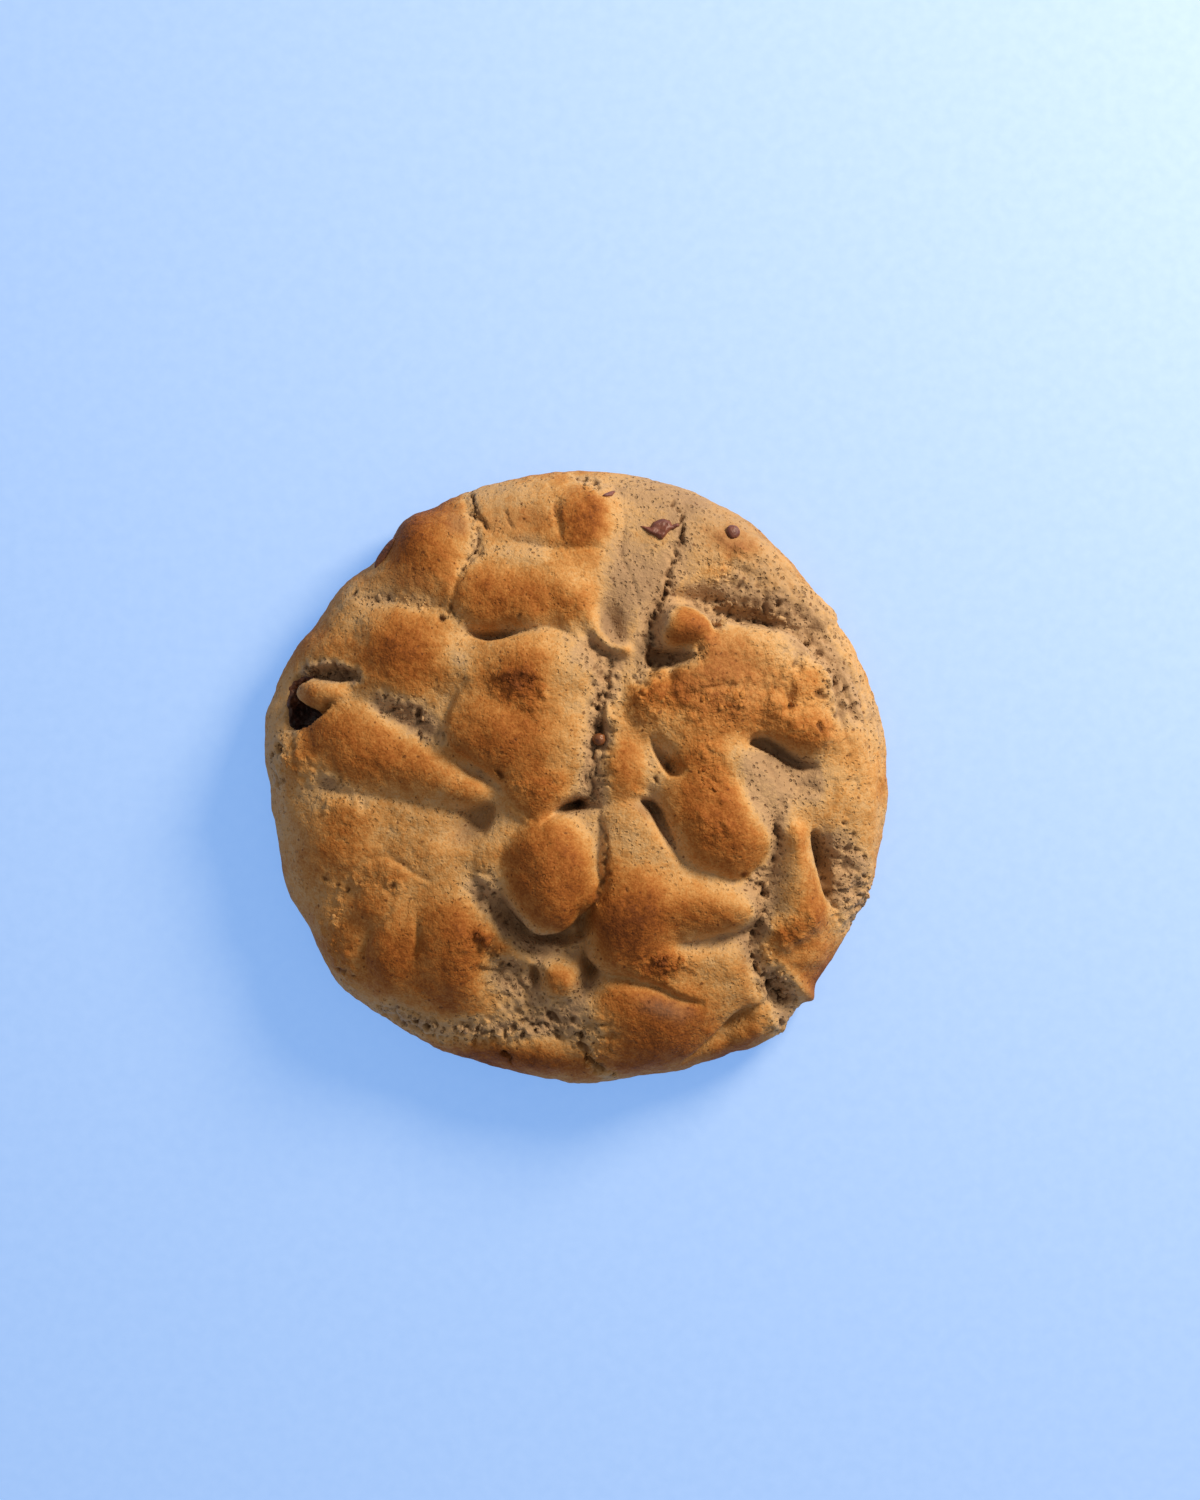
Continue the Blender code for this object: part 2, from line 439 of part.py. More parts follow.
def pit_depth(x, y, depth, wall, deepest, reach, outline):
    """Zero outside the outline, and down a wall of the given width inside it."""
    into = np.clip(within(x, y, outline) / max(wall, FINEST_WALL) + 0.15, 0, 1)
    near = np.clip(1.25 - np.hypot(x - deepest[0], y - deepest[1]) / reach, 0.2, 1)
    return depth * (1 - (1 - into) ** 2) * near


def rounded_cap(away, rise, power=1.0):
    """The height of a lobe, by the square of the distance from its middle over its half width."""
    away = away / LOBE_REACH**2
    inside, outside = np.clip(1 - away, 0, None), np.clip(away - 1, 0, None)
    return LOBE_RISE * rise * np.where(away < 1, inside**power, -0.8 * outside / np.sqrt(1 + outside))


def relief(x, y):
    """How far the surface stands out from the dome, by the place on the dome seen from above."""
    flat = np.zeros_like(x)
    push_x = 0.6 * lattice_noise(x, y, flat, 9.0, 11) + 0.35 * lattice_noise(x, y, flat, 3.6, 12)
    push_y = 0.6 * lattice_noise(x, y, flat, 9.0, 13) + 0.35 * lattice_noise(x, y, flat, 3.6, 14)
    x, y = x + push_x, y + push_y
    total = np.ones_like(x)
    for power, lobes in ((1.0, LOBES), (0.62, FULL_LOBES)):
        for cx, cy, rx, ry, turn, rise in lobes:
            u, v = turned(x, y, cx, cy, turn)
            total += np.exp(rounded_cap((u / rx) ** 2 + (v / ry) ** 2, rise, power) / BLEND)
    for rise, start, end, points in RIDGES:
        best, along, _ = near_line(x, y, points)
        total += np.exp(rounded_cap((best / (start + (end - start) * along)) ** 2, rise) / BLEND)
    height = BLEND * np.log(total)
    for cx, cy, rx, ry, turn, depth in HOLLOWS:
        u, v = turned(x, y, cx, cy, turn)
        away = (u / rx) ** 2 + (v / ry) ** 2
        height -= depth * np.exp(-1.1 * away**1.15)
    for fold in FOLDS:
        height -= fold_depth(x, y, *fold)
    return height


def dough_points():
    """The dough's vertices ring by ring: one in the middle, 6, 12, 18 ... to the outline, then even rings down."""
    (top_share, top_height), (low_share, low_height) = dome_meridian()
    share = np.concatenate([top_share, low_share[1:]])
    height = np.concatenate([top_height, low_height[1:]])
    along_share, along_height = np.gradient(share * RIM_RADIUS), np.gradient(height)
    length = np.hypot(along_share, along_height)
    out_share, out_height = -along_height / length, along_share / length
    counts = [1] + [6 * min(k, TOP_RINGS) for k in range(1, TOP_RINGS + SIDE_RINGS + 1)]
    ring = np.repeat(np.arange(len(counts)), counts)
    angle = np.concatenate([2 * math.pi * np.arange(n) / n for n in counts])
    radius = rim_radius(angle)
    x = share[ring] * radius * np.cos(angle)
    y = share[ring] * radius * np.sin(angle)
    z = height[ring]
    inward = np.clip((share[ring] - 0.9) / 0.1, 0, 1) ** 2
    keep = np.where(ring <= TOP_RINGS, 1 - (1 - RIM_RELIEF) * inward, RIM_RELIEF * z / WAIST_HEIGHT)
    bumps = 0.28 * lattice_noise(x, y, z, 4.5, 21) + 0.1 * lattice_noise(x, y, z, 1.9, 22)
    out = relief(x, y) * keep + bumps * np.clip(z / 2, 0, 1)
    for pit in PITS:
        out -= pit_depth(x, y, *pit) * keep
    x = x + out * out_share[ring] * np.cos(angle)
    y = y + out * out_share[ring] * np.sin(angle)
    z = np.where(ring == len(counts) - 1, 0, np.maximum(z + out * out_height[ring], 0.4))
    return np.column_stack([x, y, z]), counts


def dough_faces(counts):
    starts = np.concatenate([[0], np.cumsum(counts)])
    faces = []
    for k in range(1, TOP_RINGS + 1):
        inner, outer = int(starts[k - 1]), int(starts[k])
        for sixth in range(6):
            for j in range(k):
                a = outer + sixth * k + j
                b = outer + (sixth * k + j + 1) % counts[k]
                c = inner + (sixth * (k - 1) + j) % counts[k - 1]
                faces.append((c, a, b))
                if j < k - 1:
                    faces.append((c, b, inner + (sixth * (k - 1) + j + 1) % counts[k - 1]))
    for k in range(TOP_RINGS + 1, len(counts)):
        upper, lower, n = int(starts[k - 1]), int(starts[k]), counts[k]
        for j in range(n):
            following = (j + 1) % n
            faces.append((upper + j, lower + j, lower + following))
            faces.append((upper + j, lower + following, upper + following))
    bottom = int(starts[-2])
    faces.append(tuple(range(bottom + counts[-1] - 1, bottom - 1, -1)))
    return faces


def surface_height(mesh_object, x, y):
    """The height of an object's top at a place given in millimetres."""
    hit, place, normal, _ = mesh_object.ray_cast(Vector((x * MM, y * MM, 0.1)), Vector((0, 0, -1)))
    if not hit:
        raise ValueError(f"nothing under {x}, {y}")
    return place.z / MM, normal


def material(name, colour, roughness):
    made = bpy.data.materials.new(name)
    made.use_nodes = True
    shader = made.node_tree.nodes["Principled BSDF"]
    shader.inputs["Base Color"].default_value = (*colour, 1)
    shader.inputs["Roughness"].default_value = roughness
    shader.inputs["Metallic"].default_value = 0
    return made


def add_object(name, mesh, made_of=None):
    mesh.shade_smooth()
    made = bpy.data.objects.new(name, mesh)
    bpy.context.scene.collection.objects.link(made)
    if made_of:
        mesh.materials.append(made_of)
    return made


def hide_cutter(cutter):
    cutter.hide_render = True
    cutter.display_type = "WIRE"


def chip_mesh(name, half_length, half_width, half_thickness, grow, seed, fineness):
    """A rounded lump, slightly uneven, made larger all round by grow."""
    shape = bmesh.new()
    bmesh.ops.create_icosphere(shape, subdivisions=fineness, radius=1)
    for vertex in shape.verts:
        place = np.array(vertex.co)
        swell = 1 + 0.1 * float(lattice_noise(*(np.array([v]) for v in place * 2), 1.0, seed)[0])
        vertex.co = Vector(
            (
                place[0] * (half_length * swell + grow) * MM,
                place[1] * (half_width * swell + grow) * MM,
                place[2] * (half_thickness * swell + grow) * MM,
            )
        )
    mesh = bpy.data.meshes.new(name)
    shape.to_mesh(mesh)
    shape.free()
    return mesh


def melt_mesh(name, grow, thickness):
    """The melted lump: its outline moved out by grow and drawn up to a soft-edged slab."""
    outline = smooth_curve(MELT_OUTLINE + MELT_OUTLINE[:1], steps=3)[:-1]
    ahead, behind = np.roll(outline, -1, axis=0), np.roll(outline, 1, axis=0)
    along = ahead - behind
    along /= np.linalg.norm(along, axis=1)[:, None]
    outward = np.column_stack([-along[:, 1], along[:, 0]])
    area = np.sum(outline[:, 0] * ahead[:, 1] - ahead[:, 0] * outline[:, 1])
    if area > 0:
        outward = -outward
    levels = [(-thickness / 2 - grow, -0.35), (-thickness / 2 + 0.3 - grow, 0), (thickness / 2 - 0.5, 0)]
    levels.append((thickness / 2 + grow, -0.45))
    shape = bmesh.new()
    rings = []
    for level, inset in levels:
        points = outline + outward * (grow + inset)
        rings.append([shape.verts.new((x * MM, y * MM, level * MM)) for x, y in points])
    shape.faces.new(rings[0])
    shape.faces.new(reversed(rings[-1]))
    for lower, upper in zip(rings[:-1], rings[1:]):
        for j in range(len(lower)):
            k = (j + 1) % len(lower)
            shape.faces.new((lower[k], lower[j], upper[j], upper[k]))
    bmesh.ops.triangulate(shape, faces=shape.faces[:])
    bmesh.ops.recalc_face_normals(shape, faces=shape.faces[:])
    mesh = bpy.data.meshes.new(name)
    shape.to_mesh(mesh)
    shape.free()
    return mesh


def cut_pocket(dough, cutter, name):
    hide_cutter(cutter)
    pocket = dough.modifiers.new(name, "BOOLEAN")
    pocket.operation = "DIFFERENCE"
    pocket.solver = "EXACT"
    pocket.object = cutter


def main():
    for old in list(bpy.data.objects):
        bpy.data.objects.remove(old)

    crust = material("baked_dough", (0.34, 0.15, 0.05), 0.75)
    dark = material("dark_chocolate", (0.03, 0.012, 0.008), 0.4)
    milk = material("milk_chocolate", (0.12, 0.045, 0.025), 0.5)

    points, counts = dough_points()
    mesh = bpy.data.meshes.new("dough")
    mesh.from_pydata((points * MM).tolist(), [], dough_faces(counts))
    mesh.update()
    dough = add_object("dough", mesh, crust)
    bpy.context.view_layer.update()

    height, normal = surface_height(dough, -45.6, 11.0)
    lean = Vector((-0.35, 0.0, 1)).normalized()
    seat = Matrix.Translation(Vector((0, 0, (height + 0.2) * MM)))
    hinge = Matrix.Translation(Vector((-43.5 * MM, 11.5 * MM, 0)))
    lie = hinge @ Vector((0, 0, 1)).rotation_difference(lean).to_matrix().to_4x4() @ hinge.inverted()
    melt = add_object("chocolate_melt", melt_mesh("chocolate_melt", 0, MELT_THICKNESS), dark)
    melt_cutter = add_object("cutter_melt", melt_mesh("cutter_melt", POCKET_GAP, MELT_THICKNESS + 0.2))
    for piece in (melt, melt_cutter):
        piece.matrix_world = seat @ lie
    cut_pocket(dough, melt_cutter, "pocket_melt")

    for seed, (name, x, y, length, width, thick, turn, above) in enumerate(CHIPS, 31):
        height, normal = surface_height(dough, x, y)
        place = Vector((x, y, height)) * MM + normal * (2 * above - 1) * thick * MM
        upright = Vector((0, 0, 1)).rotation_difference(normal).to_matrix().to_4x4()
        pose = Matrix.Translation(place) @ upright @ Matrix.Rotation(math.radians(turn), 4, "Z")
        colour = dark if "edge" in name else milk
        chip = add_object(name, chip_mesh(name, length, width, thick, 0, seed, 2), colour)
        cutter = add_object("cutter_" + name, chip_mesh("cutter_" + name, length, width, thick, POCKET_GAP, seed, 2))
        chip.matrix_world = pose
        cutter.matrix_world = pose
        cut_pocket(dough, cutter, "pocket_" + name)


main()
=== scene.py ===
"""The looks of a thick, hand-dropped spiced cookie, about 100 mm across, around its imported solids.

Lengths are in millimetres until the last step. The dough's form repeats the named values of the solid, apart
from a lip and a notch that lie a little differently. It is a dome that swells into lobes, with hollows, pits and
folds. On top of it come open crumb, cracks, pores and crumbs.
"""

import itertools
import math

import bmesh
import bpy
import numpy as np
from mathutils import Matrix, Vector
from mathutils.bvhtree import BVHTree


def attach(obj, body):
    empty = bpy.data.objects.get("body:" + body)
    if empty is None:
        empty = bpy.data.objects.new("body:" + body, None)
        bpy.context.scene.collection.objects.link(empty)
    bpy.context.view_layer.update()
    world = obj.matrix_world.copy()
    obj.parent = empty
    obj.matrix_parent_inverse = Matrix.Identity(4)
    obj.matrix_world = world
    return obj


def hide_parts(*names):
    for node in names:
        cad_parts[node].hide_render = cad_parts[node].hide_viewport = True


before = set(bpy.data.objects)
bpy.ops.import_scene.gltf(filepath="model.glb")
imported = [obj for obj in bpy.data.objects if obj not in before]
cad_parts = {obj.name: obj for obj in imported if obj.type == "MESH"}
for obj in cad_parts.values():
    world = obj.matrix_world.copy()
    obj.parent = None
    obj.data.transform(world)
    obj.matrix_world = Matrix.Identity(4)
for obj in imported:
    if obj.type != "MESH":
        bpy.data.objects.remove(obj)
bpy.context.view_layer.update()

MM = 0.001

# ---- the dough's dimensions ----
RIM_RADIUS = 49.3
BASE_SHARE = 0.93
CROWN_HEIGHT = 17.5
WAIST_HEIGHT = 5.5
SHOULDER_POWER = 2.2
BLEND = 0.8
LOBE_RISE = 0.72
LOBE_REACH = 1.22
RIM_RELIEF = 0.3
TOP_RINGS = 160
SIDE_RINGS = 16

# ---- the sizes of its fine relief ----
TORN_CELL = 1.5
TORN_DEPTH = 0.7
GRAIN_CELL = 1.7
GRAIN_HEIGHT = 0.42
STREAK_DEPTH = 0.25
POOL_STEP = 0.13
LAYERS = ("brown", "crumb", "grainy", "crack_shade", "dull_and_shade")

# ---- the camera and the light ----
CAMERA_OVER = (3.5, 4.4)
CAMERA_HEIGHT = 600.0
FRAME_HEIGHT_PX = 1500
PX_PER_MM = 6.107
SENSOR_MM = 36
KEY_AZIMUTH, KEY_ELEVATION = math.radians(43), math.radians(31)
KEY_DISTANCE, KEY_SIZE, KEY_WATTS = 0.5, 0.2, 3.95
KEY_COLOUR = (0.95, 0.84, 0.65)
SKY_COLOUR, SKY_STRENGTH = (0.90, 0.86, 0.82, 1), 0.4
FLOOR_GLOW = (0.155, 0.35, 0.76, 1)

# Where the outline swells out or draws in: (direction in degrees, half width in degrees, millimetres)
RIM_SWELLS = [
    (3, 10, 0.4),
    (15, 12, 0.25),
    (36, 18, -0.6),
    (33, 1.6, 0.5),
    (68, 12, 0.4),
    (118.5, 4.5, -1.0),
    (122.5, 5, 0.9),
    (132, 8, -2.0),
    (148.5, 6.5, -1.4),
    (166, 17, 1.6),
    (168, 4.5, 0.6),
    (178, 5, 0.5),
    (180.5, 3, -0.9),
    (202, 7, 1.2),
    (210, 6, -0.8),
    (220, 11, 2.1),
    (240, 10, 0.9),
    (256, 30, -1.2),
    (268, 12, 1.1),
    (289.5, 4, 0.7),
    (296, 10, 0.6),
    (299.5, 2, -0.6),
    (307, 9, 2.6),
    (308.6, 1.4, 0.6),
    (316.6, 1.3, 1.3),
    (318, 9, 1.3),
    (321, 7, -1.4),
    (330, 14, 0.9),
    (333, 2, -0.5),
    (342, 10, 0.7),
    (345, 3, -0.6),
]

# Lobes: (x, y, half length, half width, turn in degrees, rise)
LOBES = [
    # the top, left to right
    (-24.6, 36.8, 9.4, 8.6, 32, 5.4),
    (-26.4, 31.8, 7.4, 4.8, 0, 3.0),
    (-36.2, 29.6, 5.0, 3.4, 42, 2.4),
    (-8.0, 42.6, 11.0, 6.0, 8, 2.0),
    (1.0, 41.2, 5.8, 5.6, 0, 4.4),
    (1.8, 35.8, 5.6, 4.2, 0, 2.4),
    (-4.4, 33.2, 11.0, 4.6, -4, 3.2),
    (-15.8, 28.8, 6.4, 5.6, 0, 4.8),
    (-8.6, 27.8, 7.6, 5.6, 0, 5.0),
    (-1.8, 28.4, 5.8, 5.2, -15, 4.8),
    (13.0, 36.5, 7.4, 8.0, 0, 1.6),
    (21.0, 38.0, 6.4, 6.0, 0, 2.3),
    (26.8, 35.2, 6.0, 5.0, -45, 2.5),
    (22.4, 31.8, 3.0, 1.9, 20, 1.9),
    (34.0, 30.6, 8.6, 4.6, -47, 1.9),
    # the middle, left of the long valley
    (-8.6, 17.0, 10.6, 7.4, 0, 6.4),
    (-1.2, 17.4, 4.8, 6.2, 0, 4.2),
    (-16.4, 15.8, 5.2, 5.2, 0, 3.8),
    (-11.0, 6.8, 11.2, 7.4, -8, 6.2),
    (-2.6, 5.0, 5.2, 7.0, 0, 4.6),
    (-7.0, 11.4, 8.6, 3.4, 0, 4.4),
    # the middle, right of the long valley
    (7.0, 1.2, 4.6, 5.4, 10, 4.4),
    (4.4, 9.6, 3.0, 4.6, 0, 3.2),
    (9.6, -10.8, 8.8, 8.2, -40, 3.8),
    (13.6, -29.2, 5.2, 3.2, 0, 3.8),
    (11.8, -38.8, 11.8, 8.8, 12, 5.8),
    (22.4, -30.6, 7.6, 6.2, 0, 3.0),
    (24.4, -30.8, 2.4, 4.6, 8, 2.2),
    (31.6, -26.4, 1.6, 4.4, 4, 2.6),
    (26.4, -41.4, 7.6, 3.0, 38, 2.6),
    (19.6, -4.0, 7.4, 5.6, -30, 5.2),
    (21.0, 3.2, 8.4, 6.2, -10, 5.0),
    (29.2, -2.0, 4.4, 6.2, 10, 3.4),
    # the large cratered mass on the right
    (27.6, 19.8, 9.0, 6.4, -12, 6.2),
    (21.8, 16.0, 8.8, 6.4, 0, 5.8),
    (12.2, 12.6, 4.8, 4.4, 20, 5.2),
    (17.2, 14.0, 5.4, 4.8, 0, 4.8),
    (23.6, 11.4, 7.4, 5.2, 0, 5.6),
    (18.0, 8.4, 9.0, 4.8, 0, 5.0),
    (33.0, 16.0, 6.2, 7.0, 25, 4.8),
    (36.8, 14.6, 5.8, 8.0, 25, 3.6),
    (35.6, 8.0, 6.8, 4.2, -16, 5.6),
    (30.6, 11.0, 2.8, 2.8, 0, 5.4),
    (13.6, 24.2, 2.4, 2.4, 0, 3.4),
    (20.6, 20.0, 2.8, 2.4, 0, 5.0),
    (23.6, 25.2, 2.2, 1.2, 10, 2.8),
    (42.6, 5.0, 4.8, 5.2, 0, 2.8),
    (41.4, -2.4, 8.0, 5.8, 0, 2.6),
    (33.8, -24.4, 4.8, 3.0, 12, 4.8),
    (45.8, -10.6, 3.6, 6.8, 5, 2.6),
    (42.4, -21.8, 3.8, 2.8, 0, 1.8),
    (36.2, -29.2, 6.8, 5.6, -42, 3.6),
    # the left
    (-28.2, 19.8, 9.8, 8.2, 0, 5.6),
    (-39.8, 22.8, 8.8, 7.8, -35, 3.2),
    (-20.6, 18.8, 5.2, 5.6, 0, 3.4),
    (-36.6, 6.6, 6.4, 5.8, 20, 4.6),
    (-45.6, 1.0, 4.0, 6.6, 0, 3.0),
    (-39.2, -9.4, 7.8, 8.2, 0, 3.8),
    (-23.4, -10.6, 12.0, 7.0, 0, 1.5),
    (-30.0, -15.8, 5.2, 3.2, 0, 2.1),
    (-31.8, -20.6, 4.8, 3.4, 12, 3.8),
    (-38.0, -26.0, 4.8, 7.2, 14, 3.2),
    (-29.6, -27.4, 5.8, 7.8, 4, 5.0),
    (-20.4, -27.4, 5.4, 8.8, 8, 5.2),
    (-25.0, -31.0, 11.0, 7.4, -6, 4.2),
    (-14.8, -25.2, 2.2, 1.8, 0, 3.6),
    (-10.2, -27.6, 3.8, 1.9, -15, 2.6),
    (-3.2, -32.4, 3.6, 3.0, 0, 3.4),
    (-10.0, -44.0, 12.0, 3.6, -4, 2.0),
]

# Lobes with steeper sides, in the same form
FULL_LOBES = [
    (-4.8, -14.8, 6.6, 8.2, 0, 7.8),
    (-4.6, -18.6, 5.0, 5.4, 0, 7.2),
    (-13.2, -12.8, 3.0, 6.0, 0, 2.0),
    (8.0, -22.6, 6.8, 8.2, 0, 6.4),
    (23.8, -8.0, 5.8, 6.2, 0, 6.8),
    (16.8, 23.4, 4.2, 3.0, -12, 8.4),
    (-6.6, -1.6, 4.8, 4.8, 0, 4.8),
    (-14.0, 7.0, 6.4, 5.6, -8, 5.2),
    (-40.6, 13.2, 4.0, 2.1, 4, 5.6),
]

# Long lobes: (rise, half width at the start, half width at the end, points of the middle line)
RIDGES = [
    (3.4, 2.4, 1.0, [(-2.4, 29.2), (0.3, 27.2), (1.9, 24.8), (3.1, 22.6), (4.9, 21.0), (7.0, 20.4)]),
    (5.2, 2.2, 3.8, [(34.5, -9.6), (34.7, -13.0), (35.0, -17.0), (35.5, -21.4)]),
    (5.2, 5.4, 4.0, [(12.0, -20.0), (19.0, -20.2), (25.0, -20.8)]),
    (3.8, 6.4, 2.8, [(-43.0, 3.4), (-36.5, 3.8), (-30.5, 2.4), (-25.0, 0.6), (-20.4, -1.6), (-17.6, -2.8)]),
    (1.4, 2.0, 1.4, [(30.4, -2.0), (32.4, -5.0), (34.8, -9.0)]),
    (1.5, 1.3, 1.3, [(35.4, 24.6), (39.6, 19.6), (42.4, 13.6), (44.0, 7.0), (44.4, 1.0)]),
    (1.1, 1.2, 1.2, [(39.6, 25.0), (43.0, 19.6), (45.2, 13.6), (46.6, 7.0)]),
    (1.2, 1.4, 1.4, [(3.6, -6.4), (5.2, -11.0), (5.4, -16.0)]),
]

# Hollows: (x, y, half length, half width, turn in degrees, depth)
HOLLOWS = [
    (-45.0, 11.0, 3.0, 3.6, 20, 1.2),
    (14.4, 18.9, 3.6, 1.8, 0, 2.6),
    (11.2, 24.2, 1.4, 3.4, 0, 1.6),
    (17.0, 28.4, 5.0, 1.4, -4, 1.4),
    (21.9, 24.0, 0.9, 1.6, 0, 1.2),
    (32.2, 2.4, 5.4, 2.4, -35, 1.3),
    (14.6, 2.6, 2.4, 1.2, -55, 0.9),
    (10.8, -4.8, 2.6, 1.0, -20, 1.8),
    (4.7, 24.6, 1.9, 4.2, 18, 1.6),
    (4.4, 18.8, 3.0, 1.3, -15, 0.5),
    (3.0, 6.6, 1.8, 3.6, 0, 1.5),
    (-17.4, -7.4, 4.4, 2.7, 35, 2.8),
    (-11.6, -22.4, 5.4, 1.8, -42, 2.4),
    (-3.4, -27.0, 6.0, 2.2, 0, 3.2),
    (1.2, -23.8, 1.8, 3.2, 25, 2.6),
    (2.0, -31.8, 2.0, 3.0, 10, 3.0),
    (-11.0, -31.6, 4.6, 3.6, 0, 2.4),
    (-6.6, -31.8, 1.2, 2.2, -15, 1.4),
    (39.7, -13.0, 1.4, 4.6, 8, 1.7),
    (27.6, 26.6, 8.6, 2.0, -14, 2.6),
    (38.6, 21.0, 6.6, 1.9, -58, 1.4),
    (22.6, -25.8, 6.2, 1.4, 4, 2.0),
    (32.0, -35.6, 2.2, 3.0, 10, 1.5),
    (-1.0, -4.8, 3.4, 1.3, 12, 2.4),
    (-28.0, 9.0, 5.0, 1.7, -24, 1.1),
    (13.2, -6.6, 6.4, 1.6, -58, 1.8),
    (-13.4, 22.9, 4.6, 1.2, 3, 2.2),
    (27.8, -27.0, 1.3, 4.2, 0, 1.3),
    (3.4, -12.6, 1.2, 7.0, 0, 0.9),
    (23.8, -40.2, 4.6, 1.4, 42, 1.4),
    (-39.2, -1.4, 1.6, 1.2, 0, 1.0),
    (-25.2, -25.4, 0.6, 2.6, 0, 0.6),
    (-16.8, 0.6, 3.2, 1.0, -28, 1.4),
    (34.2, 18.0, 1.0, 1.8, 10, 1.4),
    (32.8, 13.6, 0.9, 2.2, 0, 1.2),
    (14.6, 16.0, 0.9, 2.0, -10, 1.0),
    (-10.0, 36.8, 6.0, 1.6, 0, 0.6),
    (-34.6, -26.2, 1.0, 2.6, -20, 0.7),
    (19.0, 30.5, 14.0, 7.0, -28, 1.5),
]

# Folds: (depth, half width left of the line, half width right of it, points). Left and right are as seen
# walking the line in the order of its points.
FOLDS = [
    (1.2, 2.4, 1.2, [(-18.5, 24.2), (-14.5, 22.3), (-9.5, 23.0), (-4.0, 23.4), (0, 21.8)]),
    (0.8, 1.2, 1.6, [(1.4, 23.0), (2.8, 20.4), (6.4, 19.2)]),
    (1.0, 2.0, 2.0, [(1.8, 20.4), (3.8, 17.0), (4.4, 13.4), (3.0, 9.6), (2.9, 4.6), (2.2, 0.4), (1.6, -3.6)]),
    (1.5, 1.6, 1.6, [(-6.4, -7.0), (-3.4, -5.4), (0.2, -4.4), (4.0, -4.8)]),
    (0.6, 1.6, 1.2, [(-18.5, 3.2), (-15.0, 0.2), (-12.2, -1.6), (-9.6, -4.4), (-6.6, -6.8)]),
    (0.7, 2.8, 1.8, [(-38.5, -1.8), (-28.0, -3.6), (-20.5, -5.4), (-13.4, -5.4)]),
    (0.9, 1.2, 2.2, [(-17.0, 15.2), (-20.2, 11.6), (-20.9, 7.4), (-19.4, 3.6), (-15.4, 0.4)]),
    (0.7, 1.4, 1.4, [(3.0, -6.0), (3.4, -10.0), (3.0, -14.0), (3.6, -17.0), (2.0, -22.0)]),
    (1.6, 1.4, 1.8, [(-14.0, -18.6), (-11.4, -22.0), (-7.6, -24.8), (-4.4, -25.6), (-1.0, -24.0), (2.4, -20.6)]),
    (1.3, 1.4, 1.6, [(0.2, -20.5), (0.0, -24.5), (1.2, -29.0), (2.6, -31.4), (0.6, -35.0)]),
    (1.9, 1.4, 2.6, [(2.0, -31.4), (6.0, -31.8), (11.0, -32.8), (15.0, -34.6), (19.0, -35.6)]),
    (1.0, 2.0, 1.2, [(9.0, -3.2), (12.2, -6.0), (14.4, -9.6), (18.0, -14.0)]),
    (1.2, 2.4, 0.8, [(11.2, 6.4), (12.8, 3.6), (14.6, 0.9), (16.4, 0.2)]),
    (2.4, 0.8, 2.4, [(26.4, 5.2), (28.0, 6.2), (30.4, 6.0), (33.2, 4.2), (35.2, 2.8), (38.0, 1.8)]),
    (1.2, 2.4, 1.0, [(20.0, 26.0), (26.0, 25.8), (32.0, 24.4), (36.6, 20.8), (40.0, 16.0), (42.0, 8.0)]),
    (0.4, 0.9, 0.9, [(16.4, 42.4), (16.2, 39.0), (15.2, 35.0), (14.2, 30.6), (12.4, 26.4), (11.6, 22.6),
        (12.0, 18.6)]),
    (2.2, 2.0, 0.7, [(37.8, -8.4), (38.1, -10.6), (38.8, -14.0), (39.6, -18.0), (41.0, -21.4)]),
    (0.3, 1.2, 1.2, [(30.4, -6.6), (31.2, -10.0), (30.4, -15.0), (29.2, -18.0), (30.4, -21.0)]),
    (0.6, 1.4, 1.4, [(28.4, -17.5), (29.4, -21.0), (28.0, -26.0), (29.2, -31.0), (31.6, -37.0)]),
    (1.2, 1.2, 1.8, [(16.0, -45.4), (20.6, -42.0), (24.6, -38.0), (29.4, -36.0)]),
    (0.5, 2.6, 2.6, [(-36.0, 28.8), (-30.0, 28.2), (-26.0, 27.2), (-21.0, 26.6), (-17.0, 24.4)]),
    (0.8, 1.8, 0.9, [(-43.0, 16.6), (-39.0, 16.2), (-34.0, 16.0)]),
    (0.5, 1.4, 1.0, [(-38.0, -16.4), (-33.6, -13.8), (-30.4, -12.8), (-27.0, -14.4), (-22.8, -17.2)]),
    (0.4, 0.7, 0.7, [(-25.4, -22.4), (-25.0, -25.0), (-25.4, -27.8)]),
    (0.7, 1.4, 1.4, [(-28.4, -20.6), (-31.0, -22.6), (-33.4, -24.4), (-34.4, -27.0), (-34.0, -30.0)]),
    (0.6, 0.9, 0.9, [(-17.2, 45.4), (-16.8, 42.4), (-15.6, 40.4), (-13.8, 38.8)]),
    (0.8, 1.6, 1.6, [(-16.2, 40.2), (-16.4, 36.4), (-18.4, 32.6), (-20.0, 27.4)]),
    (0.7, 1.4, 1.2, [(-12.0, 37.6), (-6.0, 36.6), (1.0, 36.6), (5.0, 36.0)]),
    (0.35, 0.8, 0.8, [(6.4, 44.0), (7.6, 40.0), (7.2, 35.0), (8.6, 31.0), (9.0, 27.4)]),
    (0.9, 1.2, 1.2, [(9.4, 14.6), (13.0, 15.6), (18.0, 18.0)]),
    (0.8, 0.9, 0.9, [(31.4, 14.8), (33.0, 11.6), (31.4, 9.8)]),
    (0.6, 1.2, 1.2, [(18.0, 12.6), (22.0, 13.6), (26.6, 15.0)]),
    (0.7, 1.0, 1.4, [(-3.2, 44.6), (-3.9, 41.0), (-3.2, 37.6)]),
]

